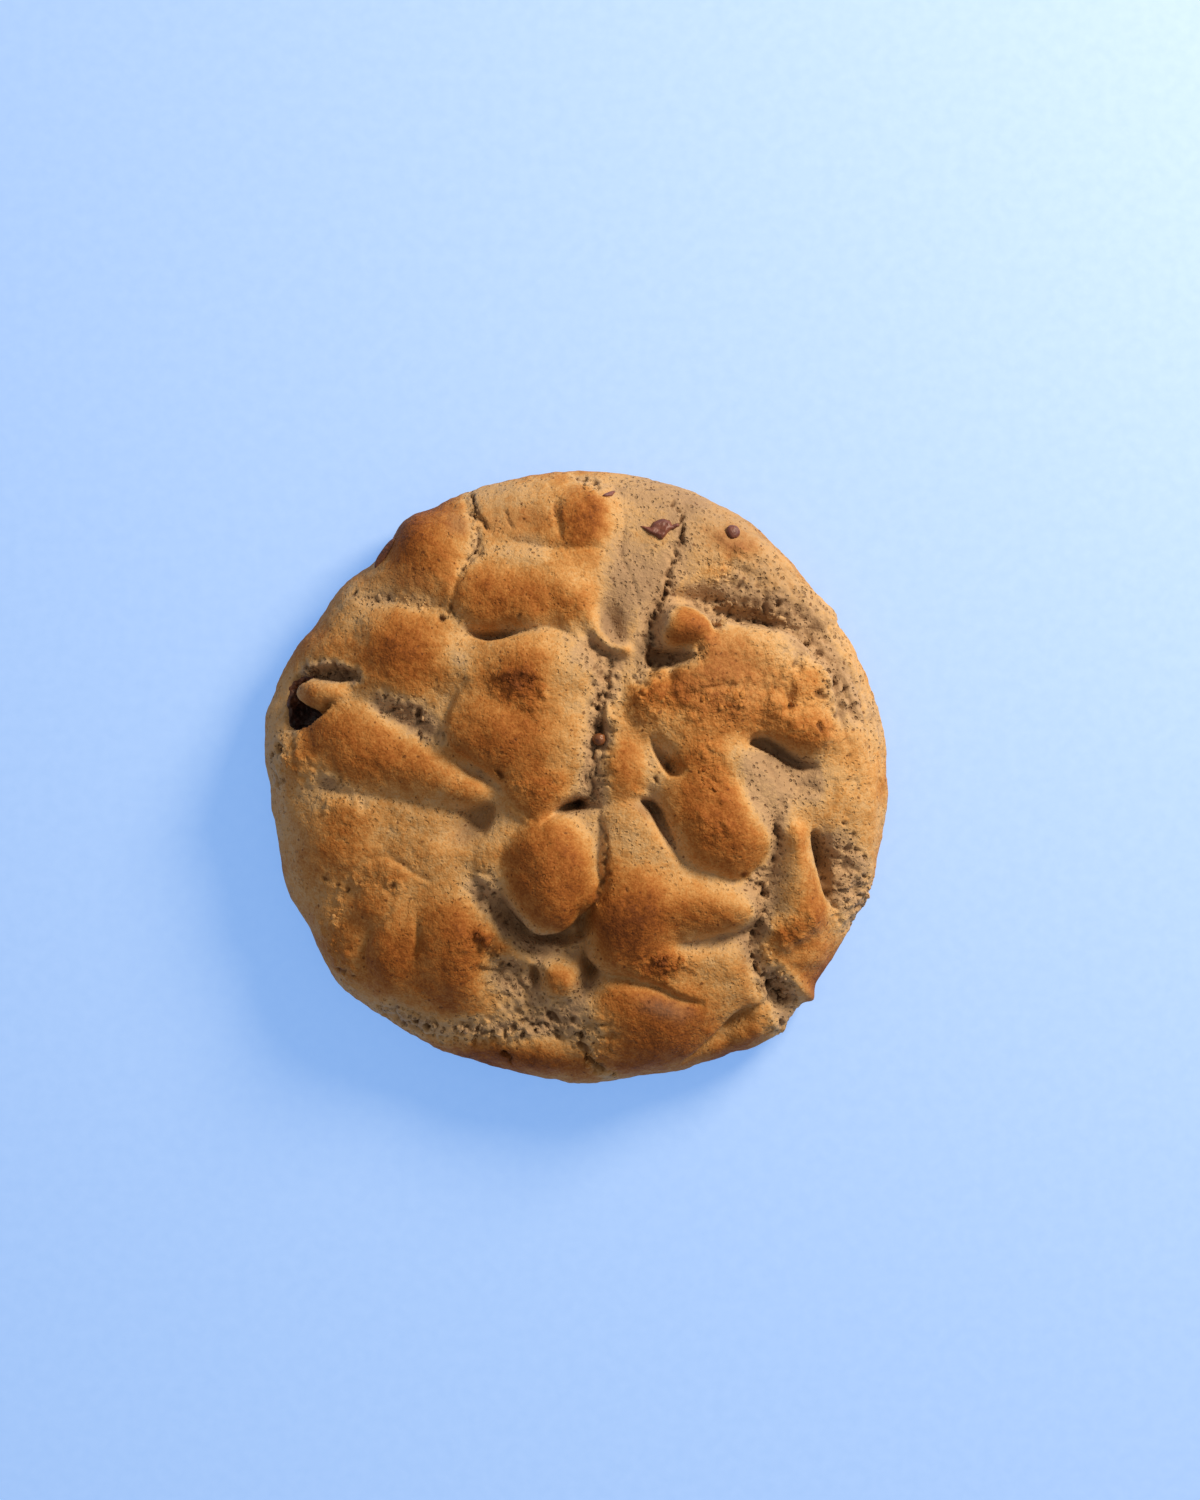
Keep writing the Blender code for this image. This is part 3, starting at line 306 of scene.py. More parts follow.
# Pits with a crisp rim: (depth, wall, deepest place, reach from it, outline)
PITS = [
    # round the tongue of dough at the left edge
    (3.8, 0.9, (-44.0, 10.0), 9.0, [(-44.6, 16.4), (-42.3, 16.5), (-42.6, 15.3), (-43.9, 14.7), (-44.7, 13.6),
        (-44.4, 12.5), (-43.4, 11.6), (-42.2, 11.2), (-41.3, 10.6), (-40.4, 10.9), (-39.7, 11.8), (-38.5, 11.9),
        (-40.4, 9.8), (-42.2, 8.4), (-44.6, 7.5), (-46.2, 7.7), (-46.8, 10.2), (-46.9, 12.6), (-46.4, 14.5),
        (-45.7, 15.6)]),
    (2.6, 0.7, (-36.4, 16.0), 9.0, [(-43.0, 16.2), (-41.4, 15.5), (-38.0, 15.35), (-36.0, 15.4), (-35.1, 15.8),
        (-34.9, 16.6), (-36.4, 17.3), (-39.0, 17.8), (-42.0, 17.4)]),
    # under the egg-shaped lobe
    (4.2, 1.6, (-1.0, -24.4), 12.0, [(-14.6, -18.4), (-12.0, -20.4), (-9.8, -22.6), (-7.6, -24.5), (-5.0, -25.4),
        (-2.8, -24.8), (0.0, -22.4), (2.6, -19.6), (2.4, -23.2), (1.0, -26.0), (-2.2, -27.4), (-6.0, -27.2),
        (-9.8, -25.8), (-13.2, -22.6)]),
    (2.4, 1.0, (1.8, -31.4), 4.0, [(0.8, -27.6), (2.4, -30.4), (3.4, -31.6), (2.2, -33.2), (0.9, -32.0),
        (0.2, -29.8)]),
    (2.6, 1.3, (-14.0, -5.2), 6.0, [(-19.6, -5.2), (-16.6, -4.6), (-14.2, -4.0), (-13.2, -4.6), (-13.6, -6.8),
        (-15.0, -9.2), (-17.4, -8.2)]),
    (2.2, 0.8, (-0.6, -4.4), 5.0, [(-4.2, -5.4), (-2.4, -4.2), (0.0, -3.6), (1.6, -3.7), (1.2, -4.9), (-1.0, -5.2),
        (-3.2, -6.0)]),
    # right of the middle
    (2.8, 0.7, (30.6, 4.6), 8.0, [(26.8, 5.2), (28.2, 6.4), (30.6, 6.2), (33.2, 4.6), (35.2, 3.1), (37.6, 2.0),
        (36.0, 1.0), (33.4, 2.2), (30.8, 3.8), (28.6, 4.6)]),
    (2.0, 0.9, (14.0, 1.2), 5.0, [(11.3, 6.5), (12.6, 5.6), (13.9, 3.8), (15.8, 2.8), (16.7, 1.6), (15.8, 0.2),
        (14.4, 0.1), (13.2, 1.6), (12.0, 4.0)]),
    (2.6, 1.0, (38.9, -12.6), 9.0, [(37.2, -8.8), (38.2, -8.4), (39.6, -10.4), (40.8, -13.6), (41.0, -17.4),
        (40.2, -20.0), (38.9, -17.0), (38.0, -13.5)]),
    (2.6, 1.0, (11.6, -5.0), 7.0, [(9.8, -3.6), (12.0, -3.7), (13.6, -5.2), (14.8, -8.0), (16.0, -11.6),
        (14.6, -10.6), (12.8, -8.0), (11.2, -5.4)]),
    (0.5, 0.9, (31.6, -8.6), 6.0, [(30.6, -7.0), (31.6, -6.8), (32.6, -9.4), (32.2, -12.4), (31.3, -12.0),
        (30.9, -9.4)]),
    # the top
    (2.6, 1.2, (13.6, 18.8), 8.0, [(11.4, 20.6), (13.0, 20.7), (15.5, 20.1), (17.6, 19.5), (18.0, 18.8),
        (16.6, 18.0), (14.5, 17.6), (12.0, 16.9), (10.9, 18.2)]),
    (2.6, 1.0, (-13.6, 22.4), 6.0, [(-17.4, 23.4), (-14.0, 23.6), (-9.4, 23.0), (-12.0, 21.9), (-14.5, 21.5),
        (-16.6, 22.3)]),
    (0.3, 2.2, (4.4, 23.8), 5.6, [(3.2, 27.6), (4.5, 27.4), (6.2, 24.6), (6.6, 22.6), (5.4, 21.9), (4.2, 23.0)]),
    (1.0, 0.8, (3.0, 20.4), 4.0, [(1.4, 22.0), (2.4, 21.6), (3.6, 20.6), (5.6, 20.0), (5.4, 19.2), (3.0, 19.4),
        (1.6, 20.4)]),
    (1.6, 1.2, (27.6, 26.2), 11.0, [(20.4, 26.6), (25.0, 25.6), (30.0, 25.2), (33.2, 23.4), (36.0, 20.8),
        (37.4, 21.8), (34.6, 24.6), (30.0, 27.0), (25.0, 27.8), (21.0, 27.8)]),
    (2.0, 0.9, (-6.6, -32.0), 3.0, [(-7.8, -30.0), (-6.8, -30.2), (-5.7, -32.4), (-6.0, -34.2), (-7.3, -33.4),
        (-7.9, -31.8)]),
    # the torn notch at the lower right edge
    (1.4, 1.4, (31.8, -34.2), 5.0, [(30.2, -31.0), (31.4, -31.8), (33.4, -34.2), (34.0, -35.8), (32.6, -37.8),
        (31.0, -36.6), (30.2, -33.6)]),
    (1.6, 1.0, (24.6, -39.0), 4.0, [(21.6, -40.6), (24.8, -37.8), (28.4, -36.8), (27.4, -38.6), (24.4, -40.6)]),
]

# Open, torn crumb: (half width, strength, points of its middle line)
CRUMB = [
    (3.6, 1.0, [(20.5, 27.4), (27.0, 27.8), (32.5, 26.8), (36.4, 23.0), (40.0, 18.0), (42.0, 12.0)]),
    (4.6, 0.55, [(26.0, 33.0), (33.0, 30.4), (38.5, 25.6), (42.5, 19.0), (45.0, 10.0)]),
    (2.8, 1.0, [(2.2, 19.4), (4.4, 16.0), (3.8, 11.0), (3.0, 4.0), (2.2, -2.0)]),
    (2.0, 0.9, [(13.6, 27.0), (11.6, 23.6), (11.4, 19.0), (9.6, 15.8)]),
    (1.8, 0.8, [(12.0, 18.6), (16.0, 18.4), (18.4, 19.6)]),
    (4.8, 0.9, [(-12.0, -31.0), (-9.0, -35.0), (-4.0, -38.0), (2.0, -40.0)]),
    (2.4, 0.9, [(-30.0, -37.0), (-25.0, -39.2), (-19.0, -40.4), (-11.0, -40.6), (-2.0, -39.5)]),
    (3.4, 0.8, [(-15.4, -17.6), (-12.0, -22.6), (-6.0, -26.6)]),
    (3.8, 1.0, [(41.4, -12.6), (43.0, -17.0), (44.0, -22.0)]),
    (1.8, 1.0, [(29.0, -16.0), (29.4, -21.0), (27.8, -26.0), (28.6, -30.0), (31.4, -36.0)]),
    (3.0, 1.2, [(30.4, -32.0), (33.0, -35.8), (31.6, -39.0)]),
    (1.6, 0.5, [(32.6, -3.6), (31.4, -7.0), (32.0, -12.0), (30.6, -17.0)]),
    (2.0, 0.45, [(-35.0, 28.4), (-28.0, 28.0), (-21.0, 26.8), (-17.4, 24.4)]),
    (1.2, 0.6, [(-17.4, 45.4), (-16.8, 41.0), (-16.2, 36.0), (-18.4, 32.0)]),
    (1.6, 0.8, [(0.0, 47.6), (3.0, 46.2)]),
    (2.4, 0.6, [(-31.0, 12.4), (-26.0, 10.4), (-22.6, 6.4)]),
    (2.4, 0.9, [(-45.6, 6.4), (-47.4, 3.4), (-47.6, 0.0)]),
    (1.6, 1.2, [(-43.0, 17.2), (-39.0, 17.0), (-35.4, 16.2)]),
    (1.8, 0.8, [(1.0, -42.0), (2.4, -44.6), (4.4, -47.0)]),
    (3.0, 0.5, [(29.0, 1.4), (33.0, 0.4), (36.0, -2.4)]),
    (2.0, 0.7, [(-39.0, 0.0), (-34.0, -3.6)]),
    (2.0, 0.6, [(16.6, 42.0), (15.4, 35.0), (13.8, 29.6)]),
]

# Rough, granular crust: (half width, strength, points of its middle line)
GRAINY = [
    (5.0, 0.9, [(12.0, 12.4), (20.0, 12.0), (28.0, 12.0), (34.0, 10.0)]),
    (4.0, 0.9, [(30.0, 20.0), (35.0, 15.0), (38.5, 8.0)]),
    (3.0, 0.8, [(20.0, 4.0), (22.0, -1.0)]),
    (2.6, 1.2, [(10.0, -30.0), (14.0, -29.4), (16.6, -28.0)]),
    (2.4, 1.0, [(-17.0, -25.6), (-14.4, -24.8)]),
    (3.0, 0.9, [(-39.0, -19.0), (-38.6, -26.0), (-36.0, -31.0)]),
    (2.4, 0.8, [(-34.0, -16.0), (-29.0, -16.6)]),
    (3.0, 1.1, [(-11.0, 14.6), (-7.0, 13.4)]),
    (1.6, 1.2, [(21.6, 24.6), (24.0, 25.6)]),
    (2.4, 0.9, [(32.0, -25.0), (36.0, -22.0)]),
    (2.4, 0.7, [(-10.0, -1.6), (-4.0, -1.0)]),
    (2.0, 0.8, [(22.4, -8.0), (19.0, -7.0)]),
    (3.0, 0.8, [(21.0, 33.0), (26.0, 34.6)]),
    (3.4, 0.8, [(-15.0, -28.0), (-12.6, -33.0)]),
    (3.0, 0.7, [(-44.0, 2.0), (-40.0, -4.0)]),
]

# Cracks that cut in: (depth, half width, points)
CRACKS = [
    (0.7, 0.3, [(-17.0, 45.2), (-16.9, 43.6), (-16.0, 41.6), (-15.0, 40.4), (-13.9, 39.2)]),
    (0.35, 0.22, [(-12.6, 42.6), (-11.2, 41.0), (-9.6, 39.6)]),
    (0.7, 0.3, [(2.6, 2.4), (2.1, 1.0), (2.6, -0.4), (1.9, -2.2), (1.7, -3.6), (0.2, -4.4), (-2.6, -4.9)]),
    (0.5, 0.25, [(3.2, -6.4), (3.9, -9.0), (4.6, -12.0), (4.2, -15.0), (3.4, -17.6), (2.6, -20.0)]),
    (1.0, 0.5, [(0.6, -41.6), (1.6, -43.6), (2.4, -45.0), (3.8, -46.6)]),
    (0.5, 0.3, [(16.0, -45.0), (18.4, -43.4), (20.4, -41.8), (22.4, -40.4)]),
    (0.4, 0.3, [(-3.6, 44.2), (-4.0, 42.6), (-3.7, 41.0)]),
    (0.4, 0.3, [(27.4, -26.4), (28.4, -29.4), (29.4, -33.0), (30.2, -35.4)]),
]

# Chains of small, uneven holes: (spacing, radius, depth, sideways spread, points)
CHAINS = [
    (1.0, 0.42, 1.0, 0.3, [(15.4, 43.4), (16.3, 41.4), (16.4, 38.6), (15.7, 36.6), (15.6, 34.6), (14.6, 31.6),
        (13.6, 28.8), (12.4, 26.4), (11.6, 24.6), (11.8, 22.2), (11.7, 19.4)]),
    (1.7, 0.45, 0.9, 0.9, [(20.6, 27.6), (25.0, 27.0), (29.0, 26.2), (33.0, 24.2), (36.4, 21.2)]),
    (1.9, 0.42, 0.8, 1.4, [(24.0, 30.2), (30.0, 28.8), (35.0, 26.0)]),
    (2.6, 0.42, 0.9, 0.4, [(38.6, 19.2), (40.2, 16.2), (42.0, 14.2), (44.0, 13.6)]),
    (1.5, 0.5, 1.0, 0.8, [(5.2, 13.4), (3.2, 12.6), (2.8, 10.4), (3.6, 8.6), (2.4, 6.4)]),
    (1.6, 0.35, 0.7, 0.5, [(2.4, 17.6), (4.4, 15.6), (5.4, 13.6)]),
    (1.3, 0.36, 0.7, 0.5, [(4.3, -12.0), (4.5, -15.0), (3.5, -17.5), (2.8, -19.8)]),
    (1.6, 0.36, 0.6, 0.6, [(-34.4, 28.6), (-32.0, 28.6), (-30.0, 27.8)]),
    (1.4, 0.4, 0.7, 0.8, [(-21.8, 25.6), (-20.2, 26.8), (-19.6, 24.8)]),
    (1.5, 0.42, 0.8, 0.5, [(-17.2, 44.6), (-16.6, 42.4), (-16.4, 40.6)]),
    (1.9, 0.3, 0.5, 0.5, [(-16.6, 37.4), (-17.0, 35.0), (-18.6, 32.6)]),
    (1.5, 0.45, 0.9, 1.0, [(-12.6, -29.4), (-10.2, -30.0), (-10.8, -32.4)]),
    (1.5, 0.42, 0.9, 0.8, [(-14.4, -19.2), (-12.4, -21.8), (-10.0, -24.0)]),
    (1.5, 0.42, 0.8, 0.7, [(-27.6, -38.8), (-24.0, -39.4), (-20.0, -40.2), (-14.0, -40.6), (-10.0, -39.6),
        (-5.0, -38.8), (-0.6, -38.6)]),
    (1.7, 0.4, 0.7, 1.6, [(-12.6, -41.6), (-8.0, -40.0), (-3.0, -40.4), (1.0, -41.0)]),
    (1.2, 0.45, 0.9, 0.5, [(-11.8, -43.4), (-11.0, -44.4), (-10.4, -45.4)]),
    (1.4, 0.5, 1.0, 0.6, [(0.2, -40.8), (1.2, -43.0), (2.6, -45.2), (3.8, -46.6)]),
    (1.5, 0.42, 0.9, 0.5, [(29.4, -17.0), (29.8, -20.0), (28.4, -24.0), (27.8, -28.0), (29.4, -31.6),
        (31.6, -34.6)]),
    (1.1, 0.5, 1.1, 0.9, [(31.0, -32.4), (32.4, -34.0), (33.6, -35.4), (33.0, -37.4)]),
    (1.9, 0.4, 0.8, 1.3, [(40.0, -14.4), (41.6, -18.0), (43.6, -21.0)]),
    (2.4, 0.36, 0.6, 0.8, [(41.6, -8.0), (44.6, -12.0), (45.8, -17.0)]),
    (1.4, 0.36, 0.7, 0.5, [(31.4, -8.4), (32.4, -11.2), (31.4, -14.2)]),
    (1.1, 0.36, 0.7, 0.5, [(-42.4, 17.2), (-39.6, 17.3), (-37.0, 16.8)]),
    (1.6, 0.4, 0.7, 0.9, [(-29.8, 11.8), (-26.4, 10.4), (-24.6, 8.6), (-24.8, 5.4)]),
    (1.4, 0.45, 0.8, 0.9, [(-47.0, 5.4), (-48.0, 2.8)]),
    (1.3, 0.4, 0.8, 0.5, [(1.0, 47.0), (2.6, 46.4), (4.0, 45.4)]),
    (1.8, 0.36, 0.6, 0.6, [(-39.4, -16.4), (-36.6, -17.6), (-34.6, -18.6)]),
    (1.4, 0.36, 0.6, 0.5, [(-36.6, -30.8), (-34.8, -31.2)]),
    (1.6, 0.36, 0.6, 0.6, [(27.4, -16.0), (28.6, -17.2), (30.4, -17.6)]),
    (1.4, 0.5, 0.9, 0.4, [(11.2, 18.0), (12.4, 17.2), (14.6, 18.2)]),
]

# Single holes: (x, y, radius, depth)
HOLES = [
    (38.4, 12.9, 0.8, 1.1),
    (40.5, 9.7, 0.5, 0.9),
    (37.4, 7.8, 0.5, 0.8),
    (42.5, 3.2, 0.4, 0.7),
    (33.3, 11.3, 0.4, 0.7),
    (34.0, 17.6, 0.6, 0.7),
    (0.3, -4.2, 0.8, 1.2),
    (14.6, 1.6, 0.8, 1.2),
    (12.0, -0.4, 0.4, 0.6),
    (31.2, -8.6, 0.5, 0.8),
    (-25.2, 10.2, 0.8, 0.8),
    (-19.9, 27.0, 0.5, 0.6),
    (-12.7, 0.6, 0.6, 0.8),
    (-37.4, -30.4, 0.6, 0.7),
    (-9.4, 25.6, 0.4, 0.3),
    (-29.2, -16.6, 0.4, 0.4),
    (25.9, -15.5, 0.45, 0.6),
    (7.6, -17.4, 0.35, 0.4),
]

# Browner or paler than the height alone gives: (x, y, half length, half width, turn in degrees, amount)
BROWNING = [
    (-31.0, 35.0, 3.0, 2.4, 40, -0.2),
    (-34.0, 22.5, 3.2, 2.6, 0, -0.15),
    (29.0, -3.0, 6.5, 2.2, -58, -0.22),
    (44.8, -14.0, 1.6, 4.6, 8, -0.2),
    (-28.0, 38.0, 4.4, 5.6, 40, 0.2),
    (-21.0, 36.0, 5.0, 6.0, 0, -0.1),
    (-9.0, 15.5, 3.0, 1.4, 0, 0.35),
    (-8.4, 13.0, 3.4, 1.8, 0, 0.14),
    (-12.0, -44.4, 20.0, 3.8, -6, 0.42),
    (-31.0, 4.0, 8.0, 3.4, -14, 0.06),
    (0.4, 41.0, 4.2, 4.4, 0, 0.3),
    (-26.0, 20.0, 6.0, 4.0, 0, 0.12),
    (7.6, -23.6, 7.0, 6.4, -10, 0.2),
    (14.0, -29.6, 4.0, 2.0, 0, 0.3),
    (12.0, -41.0, 8.0, 5.0, 8, 0.06),
    (14.0, -35.6, 5.0, 1.6, -10, 0.16),
    (-40.0, -9.0, 4.6, 5.0, 0, 0.06),
    (28.0, -40.6, 8.0, 3.0, 38, 0.34),
    (36.4, -21.0, 2.4, 4.4, 8, 0.1),
    (34.0, -24.6, 3.0, 2.2, 8, 0.1),
    (38.0, -33.0, 2.0, 3.0, -40, 0.3),
    (18.8, 23.8, 2.8, 2.8, -20, 0.1),
    (13.4, 24.4, 1.8, 2.4, 0, -0.4),
    (24.6, 36.6, 2.8, 2.2, 0, 0.4),
    (22.0, 33.0, 2.0, 1.6, 0, 0.3),
    (21.0, 38.0, 3.4, 2.6, 0, 0.22),
    (10.4, 37.6, 3.4, 3.0, 0, 0.2),
    (-23.0, 43.0, 4.0, 3.0, 0, 0.1),
    (-11.0, -30.0, 6.0, 5.0, 0, 0.3),
    (-28.0, 5.6, 6.0, 2.4, -22, 0.14),
    (-9.0, 39.6, 8.0, 4.0, 4, 0.12),
    (-16.0, -25.0, 3.0, 4.0, 20, 0.14),
    (-15.0, -36.6, 5.0, 2.0, -10, 0.16),
    (23.6, 17.6, 6.0, 3.4, -10, 0.14),
    (-2.6, -1.0, 3.4, 2.4, 0, 0.1),
    (-18.6, -8.6, 4.0, 2.6, 20, 0.1),
    # paler
    (-1.4, 30.4, 3.4, 2.4, 0, -0.2),
    (11.4, 1.4, 2.0, 3.0, 0, -0.14),
    (-33.0, 34.0, 3.0, 3.0, 40, -0.14),
    (-35.0, 24.0, 4.0, 3.6, 0, -0.14),
    (0.4, 31.6, 3.6, 2.6, 0, -0.2),
    (24.6, 4.0, 3.0, 2.4, 0, -0.3),
    (-9.0, 35.4, 10.0, 3.4, -4, -0.26),
    (31.4, 21.0, 6.0, 4.0, -30, -0.24),
    (28.6, 13.6, 4.0, 4.0, 0, -0.1),
    (5.0, 22.4, 4.6, 2.4, -40, -0.3),
    (-27.0, 10.0, 7.0, 3.0, -26, -0.2),
    (-8.0, 21.6, 8.0, 2.6, 0, -0.14),
    (-1.4, 17.6, 4.2, 6.4, 0, -0.5),
    (-14.6, 19.4, 5.0, 3.0, 20, -0.26),
    (-2.0, 5.0, 4.0, 6.0, 0, -0.3),
    (-14.0, 10.0, 6.0, 2.6, 0, -0.16),
    (-18.6, 18.4, 2.6, 4.0, 0, -0.26),
    (29.0, -3.0, 3.4, 6.4, 8, -0.5),
    (25.0, 18.0, 7.0, 6.0, 0, -0.22),
    (16.0, 8.0, 6.0, 3.0, 0, -0.16),
    (34.0, 20.0, 4.4, 5.0, 0, -0.34),
    (27.4, 22.6, 4.6, 2.4, -10, -0.14),
    (35.6, 10.6, 4.4, 3.4, 0, -0.2),
    (9.0, -10.0, 7.0, 5.6, -30, -0.3),
    (24.0, -18.4, 7.0, 2.4, -10, -0.3),
    (28.0, -21.0, 2.4, 4.0, 0, -0.3),
    (22.0, -29.0, 6.0, 4.4, 0, -0.26),
    (34.0, -16.0, 2.4, 8.0, 0, -0.3),
    (43.0, -1.0, 6.0, 10.0, 0, -0.2),
    (43.0, -18.0, 3.0, 7.0, 10, -0.1),
    (36.0, 0.0, 6.0, 4.0, 0, -0.2),
    (20.0, 42.0, 14.0, 5.0, -20, -0.4),
    (8.0, 33.0, 5.0, 8.0, 0, -0.36),
    (-14.0, -13.0, 2.4, 6.0, 0, -0.2),
    (-37.0, 14.0, 7.0, 3.0, 0, -0.2),
    (-31.0, 30.0, 6.0, 3.4, 20, -0.14),
    (-6.0, 45.0, 11.0, 2.6, 0, -0.2),
    (37.0, -29.0, 3.6, 3.6, 0, -0.16),
    (-46.0, -8.0, 4.0, 8.0, 0, -0.1),
    (-38.0, 28.0, 6.0, 4.0, 45, -0.1),
    (-40.6, -2.0, 3.0, 3.0, 0, -0.16),
]

# Greyer, duller dough, and painted shade in the deepest hollows and creases: (x, y, half length, half width, turn
# in degrees, amount)
DULL_AND_SHADE = [
    (20.0, 41.0, 15.0, 6.0, -22, 0.42),
    (9.0, 32.0, 5.0, 8.0, 0, 0.4),
    (30.0, 31.0, 9.0, 5.0, -42, 0.4),
    (24.0, 17.0, 9.0, 7.0, -10, 0.16),
    (42.0, 14.0, 4.0, 9.0, 12, 0.14),
    (-12.0, 42.0, 8.0, 4.0, 8, 0.2),
    (32.0, 1.0, 5.0, 3.4, -30, 0.24),
    (-30.0, 29.0, 8.0, 2.6, 8, 0.2),
    (-26.0, 9.0, 5.0, 2.0, -26, 0.2),
    (4.9, 24.4, 1.4, 3.6, 18, 0.6),
    (3.5, 5.6, 1.7, 2.4, 0, 0.6),
    (-18.6, 39.6, 2.0, 2.0, 0, 0.35),
    (-8.6, 38.0, 2.6, 1.4, 0, 0.3),
    (-17.9, -8.8, 2.6, 1.7, 30, 0.5),
    (10.2, -4.8, 2.4, 0.9, -30, 0.5),
    (0.4, -34.0, 1.6, 2.2, 0, 0.5),
    (13.6, -36.0, 4.2, 1.6, -12, 0.4),
    (30.4, 4.4, 4.0, 1.4, -28, 0.4),
    (-39.0, 16.2, 3.6, 1.0, 0, 0.5),
    (26.6, -27.2, 1.3, 3.0, 0, 0.45),
]


def drawn_at(order, low, i, j, k):
    """Which of the 256 draws belongs to a corner of the lattice of cubes."""
    a = order[(low[0] + i) & 255]
    b = order[(a + low[1] + j) & 255]
    return order[(b + low[2] + k) & 255]


def lattice_noise(x, y, z, cell, seed):
    """Smooth noise from -1 to 1, with one value drawn for each corner of a lattice of cubes."""
    draw = np.random.default_rng(seed)
    order = draw.permutation(256)
    value = draw.uniform(-1, 1, 256)
    place = np.stack([x, y, z]) / cell
    low = np.floor(place).astype(int)
    part = place - low
    part = part**3 * (part * (part * 6 - 15) + 10)
    total = np.zeros_like(x)
    for i, j, k in itertools.product((0, 1), repeat=3):
        weight = part[0] if i else 1 - part[0]
        weight = weight * (part[1] if j else 1 - part[1])
        weight = weight * (part[2] if k else 1 - part[2])
        total = total + weight * value[drawn_at(order, low, i, j, k)]
    return total


def rim_radius(angle):
    radius = np.full_like(angle, RIM_RADIUS)
    for direction, half_width, swell in RIM_SWELLS:
        away = (np.degrees(angle) - direction + 180) % 360 - 180
        radius += swell * np.exp(-((away / half_width) ** 2))
    return radius


def turned(x, y, cx, cy, turn):
    c, s = math.cos(math.radians(turn)), math.sin(math.radians(turn))
    return (x - cx) * c + (y - cy) * s, (y - cy) * c - (x - cx) * s


def oval(x, y, cx, cy, half_length, half_width, turn):
    """The square of the distance from an oval's middle, 1 on the oval itself."""
    u, v = turned(x, y, cx, cy, turn)
    return (u / half_length) ** 2 + (v / half_width) ** 2


def smooth_curve(points, steps=6):
    """A Catmull-Rom curve through the points."""
    p = np.array([points[0], *points, points[-1]], float)
    out = []
    for i in range(1, len(p) - 2):
        for t in np.linspace(0, 1, steps, endpoint=False):
            out.append(
                0.5
                * (
                    2 * p[i]
                    + (p[i + 1] - p[i - 1]) * t
                    + (2 * p[i - 1] - 5 * p[i] + 4 * p[i + 1] - p[i + 2]) * t**2
                    + (3 * p[i] - p[i - 1] - 3 * p[i + 1] + p[i + 2]) * t**3
                )
            )
    out.append(p[-2])
    return np.array(out)


def near_line(x, y, points, steps=5):
    """Distance to a smooth line, the share of the way along it, and the signed distance from it."""
    line = smooth_curve(points, steps)
    runs = np.linalg.norm(np.diff(line, axis=0), axis=1)
    starts = np.concatenate([[0], np.cumsum(runs)])
    best = np.full(x.shape, 1e9)
    along = np.zeros(x.shape)
    side = np.zeros(x.shape)
    for (a, b), run, start in zip(zip(line[:-1], line[1:]), runs, starts):
        d = (b - a) / run
        t = np.clip((x - a[0]) * d[0] + (y - a[1]) * d[1], 0, run)
        far = np.hypot(x - a[0] - t * d[0], y - a[1] - t * d[1])
        near = far < best
        best = np.where(near, far, best)
        along = np.where(near, (start + t) / starts[-1], along)
        side = np.where(near, d[0] * (y - a[1]) - d[1] * (x - a[0]), side)
    return best, along, side


def fold_depth(x, y, depth, left, right, points):
    best, along, side = near_line(x, y, points, 6)
    taper = np.sqrt(4 * along * (1 - along))
    lean = 0.5 + 0.5 * np.clip(side / (0.4 * (left + right)), -1, 1)
    width = (right + (left - right) * lean) * (0.35 + 0.65 * taper)
    away = np.clip(best / width, 0, 1)
    return depth * taper * (1 - away) ** 2 * (1 + 0.6 * away)


def within(x, y, outline):
    """Distance to the outline, positive inside it."""
    corners = np.array(outline)
    best = np.full(x.shape, 1e9)
    inside = np.zeros(x.shape, bool)
    for a, b in zip(corners, np.roll(corners, -1, axis=0)):
        run = np.linalg.norm(b - a)
        d = (b - a) / run
        t = np.clip((x - a[0]) * d[0] + (y - a[1]) * d[1], 0, run)
        best = np.minimum(best, np.hypot(x - a[0] - t * d[0], y - a[1] - t * d[1]))
        crosses = (a[1] > y) != (b[1] > y)
        at = a[0] + (y - a[1]) / np.where(b[1] == a[1], 1e-9, b[1] - a[1]) * (b[0] - a[0])
        inside ^= crosses & (x < at)
    return np.where(inside, best, -best)


def pit_depth(x, y, depth, wall, deepest, reach, outline):
    """Zero outside the outline, and down a wall of the given width inside it."""
    into = np.clip(within(x, y, outline) / wall + 0.15, 0, 1)
    near = np.clip(1.25 - np.hypot(x - deepest[0], y - deepest[1]) / reach, 0.2, 1)
    return depth * (1 - (1 - into) ** 2) * near


def rounded_cap(away, rise, power=1.0):
    """The height of a lobe, by the square of the distance from its middle over its half width."""
    away = away / LOBE_REACH**2
    inside, outside = np.clip(1 - away, 0, None), np.clip(away - 1, 0, None)
    return LOBE_RISE * rise * np.where(away < 1, inside**power, -0.8 * outside / np.sqrt(1 + outside))


def big_relief(x, y):
    """How far the surface stands out from the dome, by the place on the dome seen from above."""
    flat = np.zeros_like(x)
    push_x = 0.6 * lattice_noise(x, y, flat, 9.0, 11) + 0.35 * lattice_noise(x, y, flat, 3.6, 12)
    push_y = 0.6 * lattice_noise(x, y, flat, 9.0, 13) + 0.35 * lattice_noise(x, y, flat, 3.6, 14)
    x, y = x + push_x, y + push_y
    total = np.ones_like(x)
    for power, lobes in ((1.0, LOBES), (0.62, FULL_LOBES)):
        for *lobe, rise in lobes:
            total += np.exp(rounded_cap(oval(x, y, *lobe), rise, power) / BLEND)
    for rise, start, end, points in RIDGES:
        best, along, _ = near_line(x, y, points)
        total += np.exp(rounded_cap((best / (start + (end - start) * along)) ** 2, rise) / BLEND)
    height = BLEND * np.log(total)
    for *hollow, depth in HOLLOWS:
        height -= depth * np.exp(-1.1 * oval(x, y, *hollow) ** 1.15)
    for fold in FOLDS:
        height -= fold_depth(x, y, *fold)
    return height


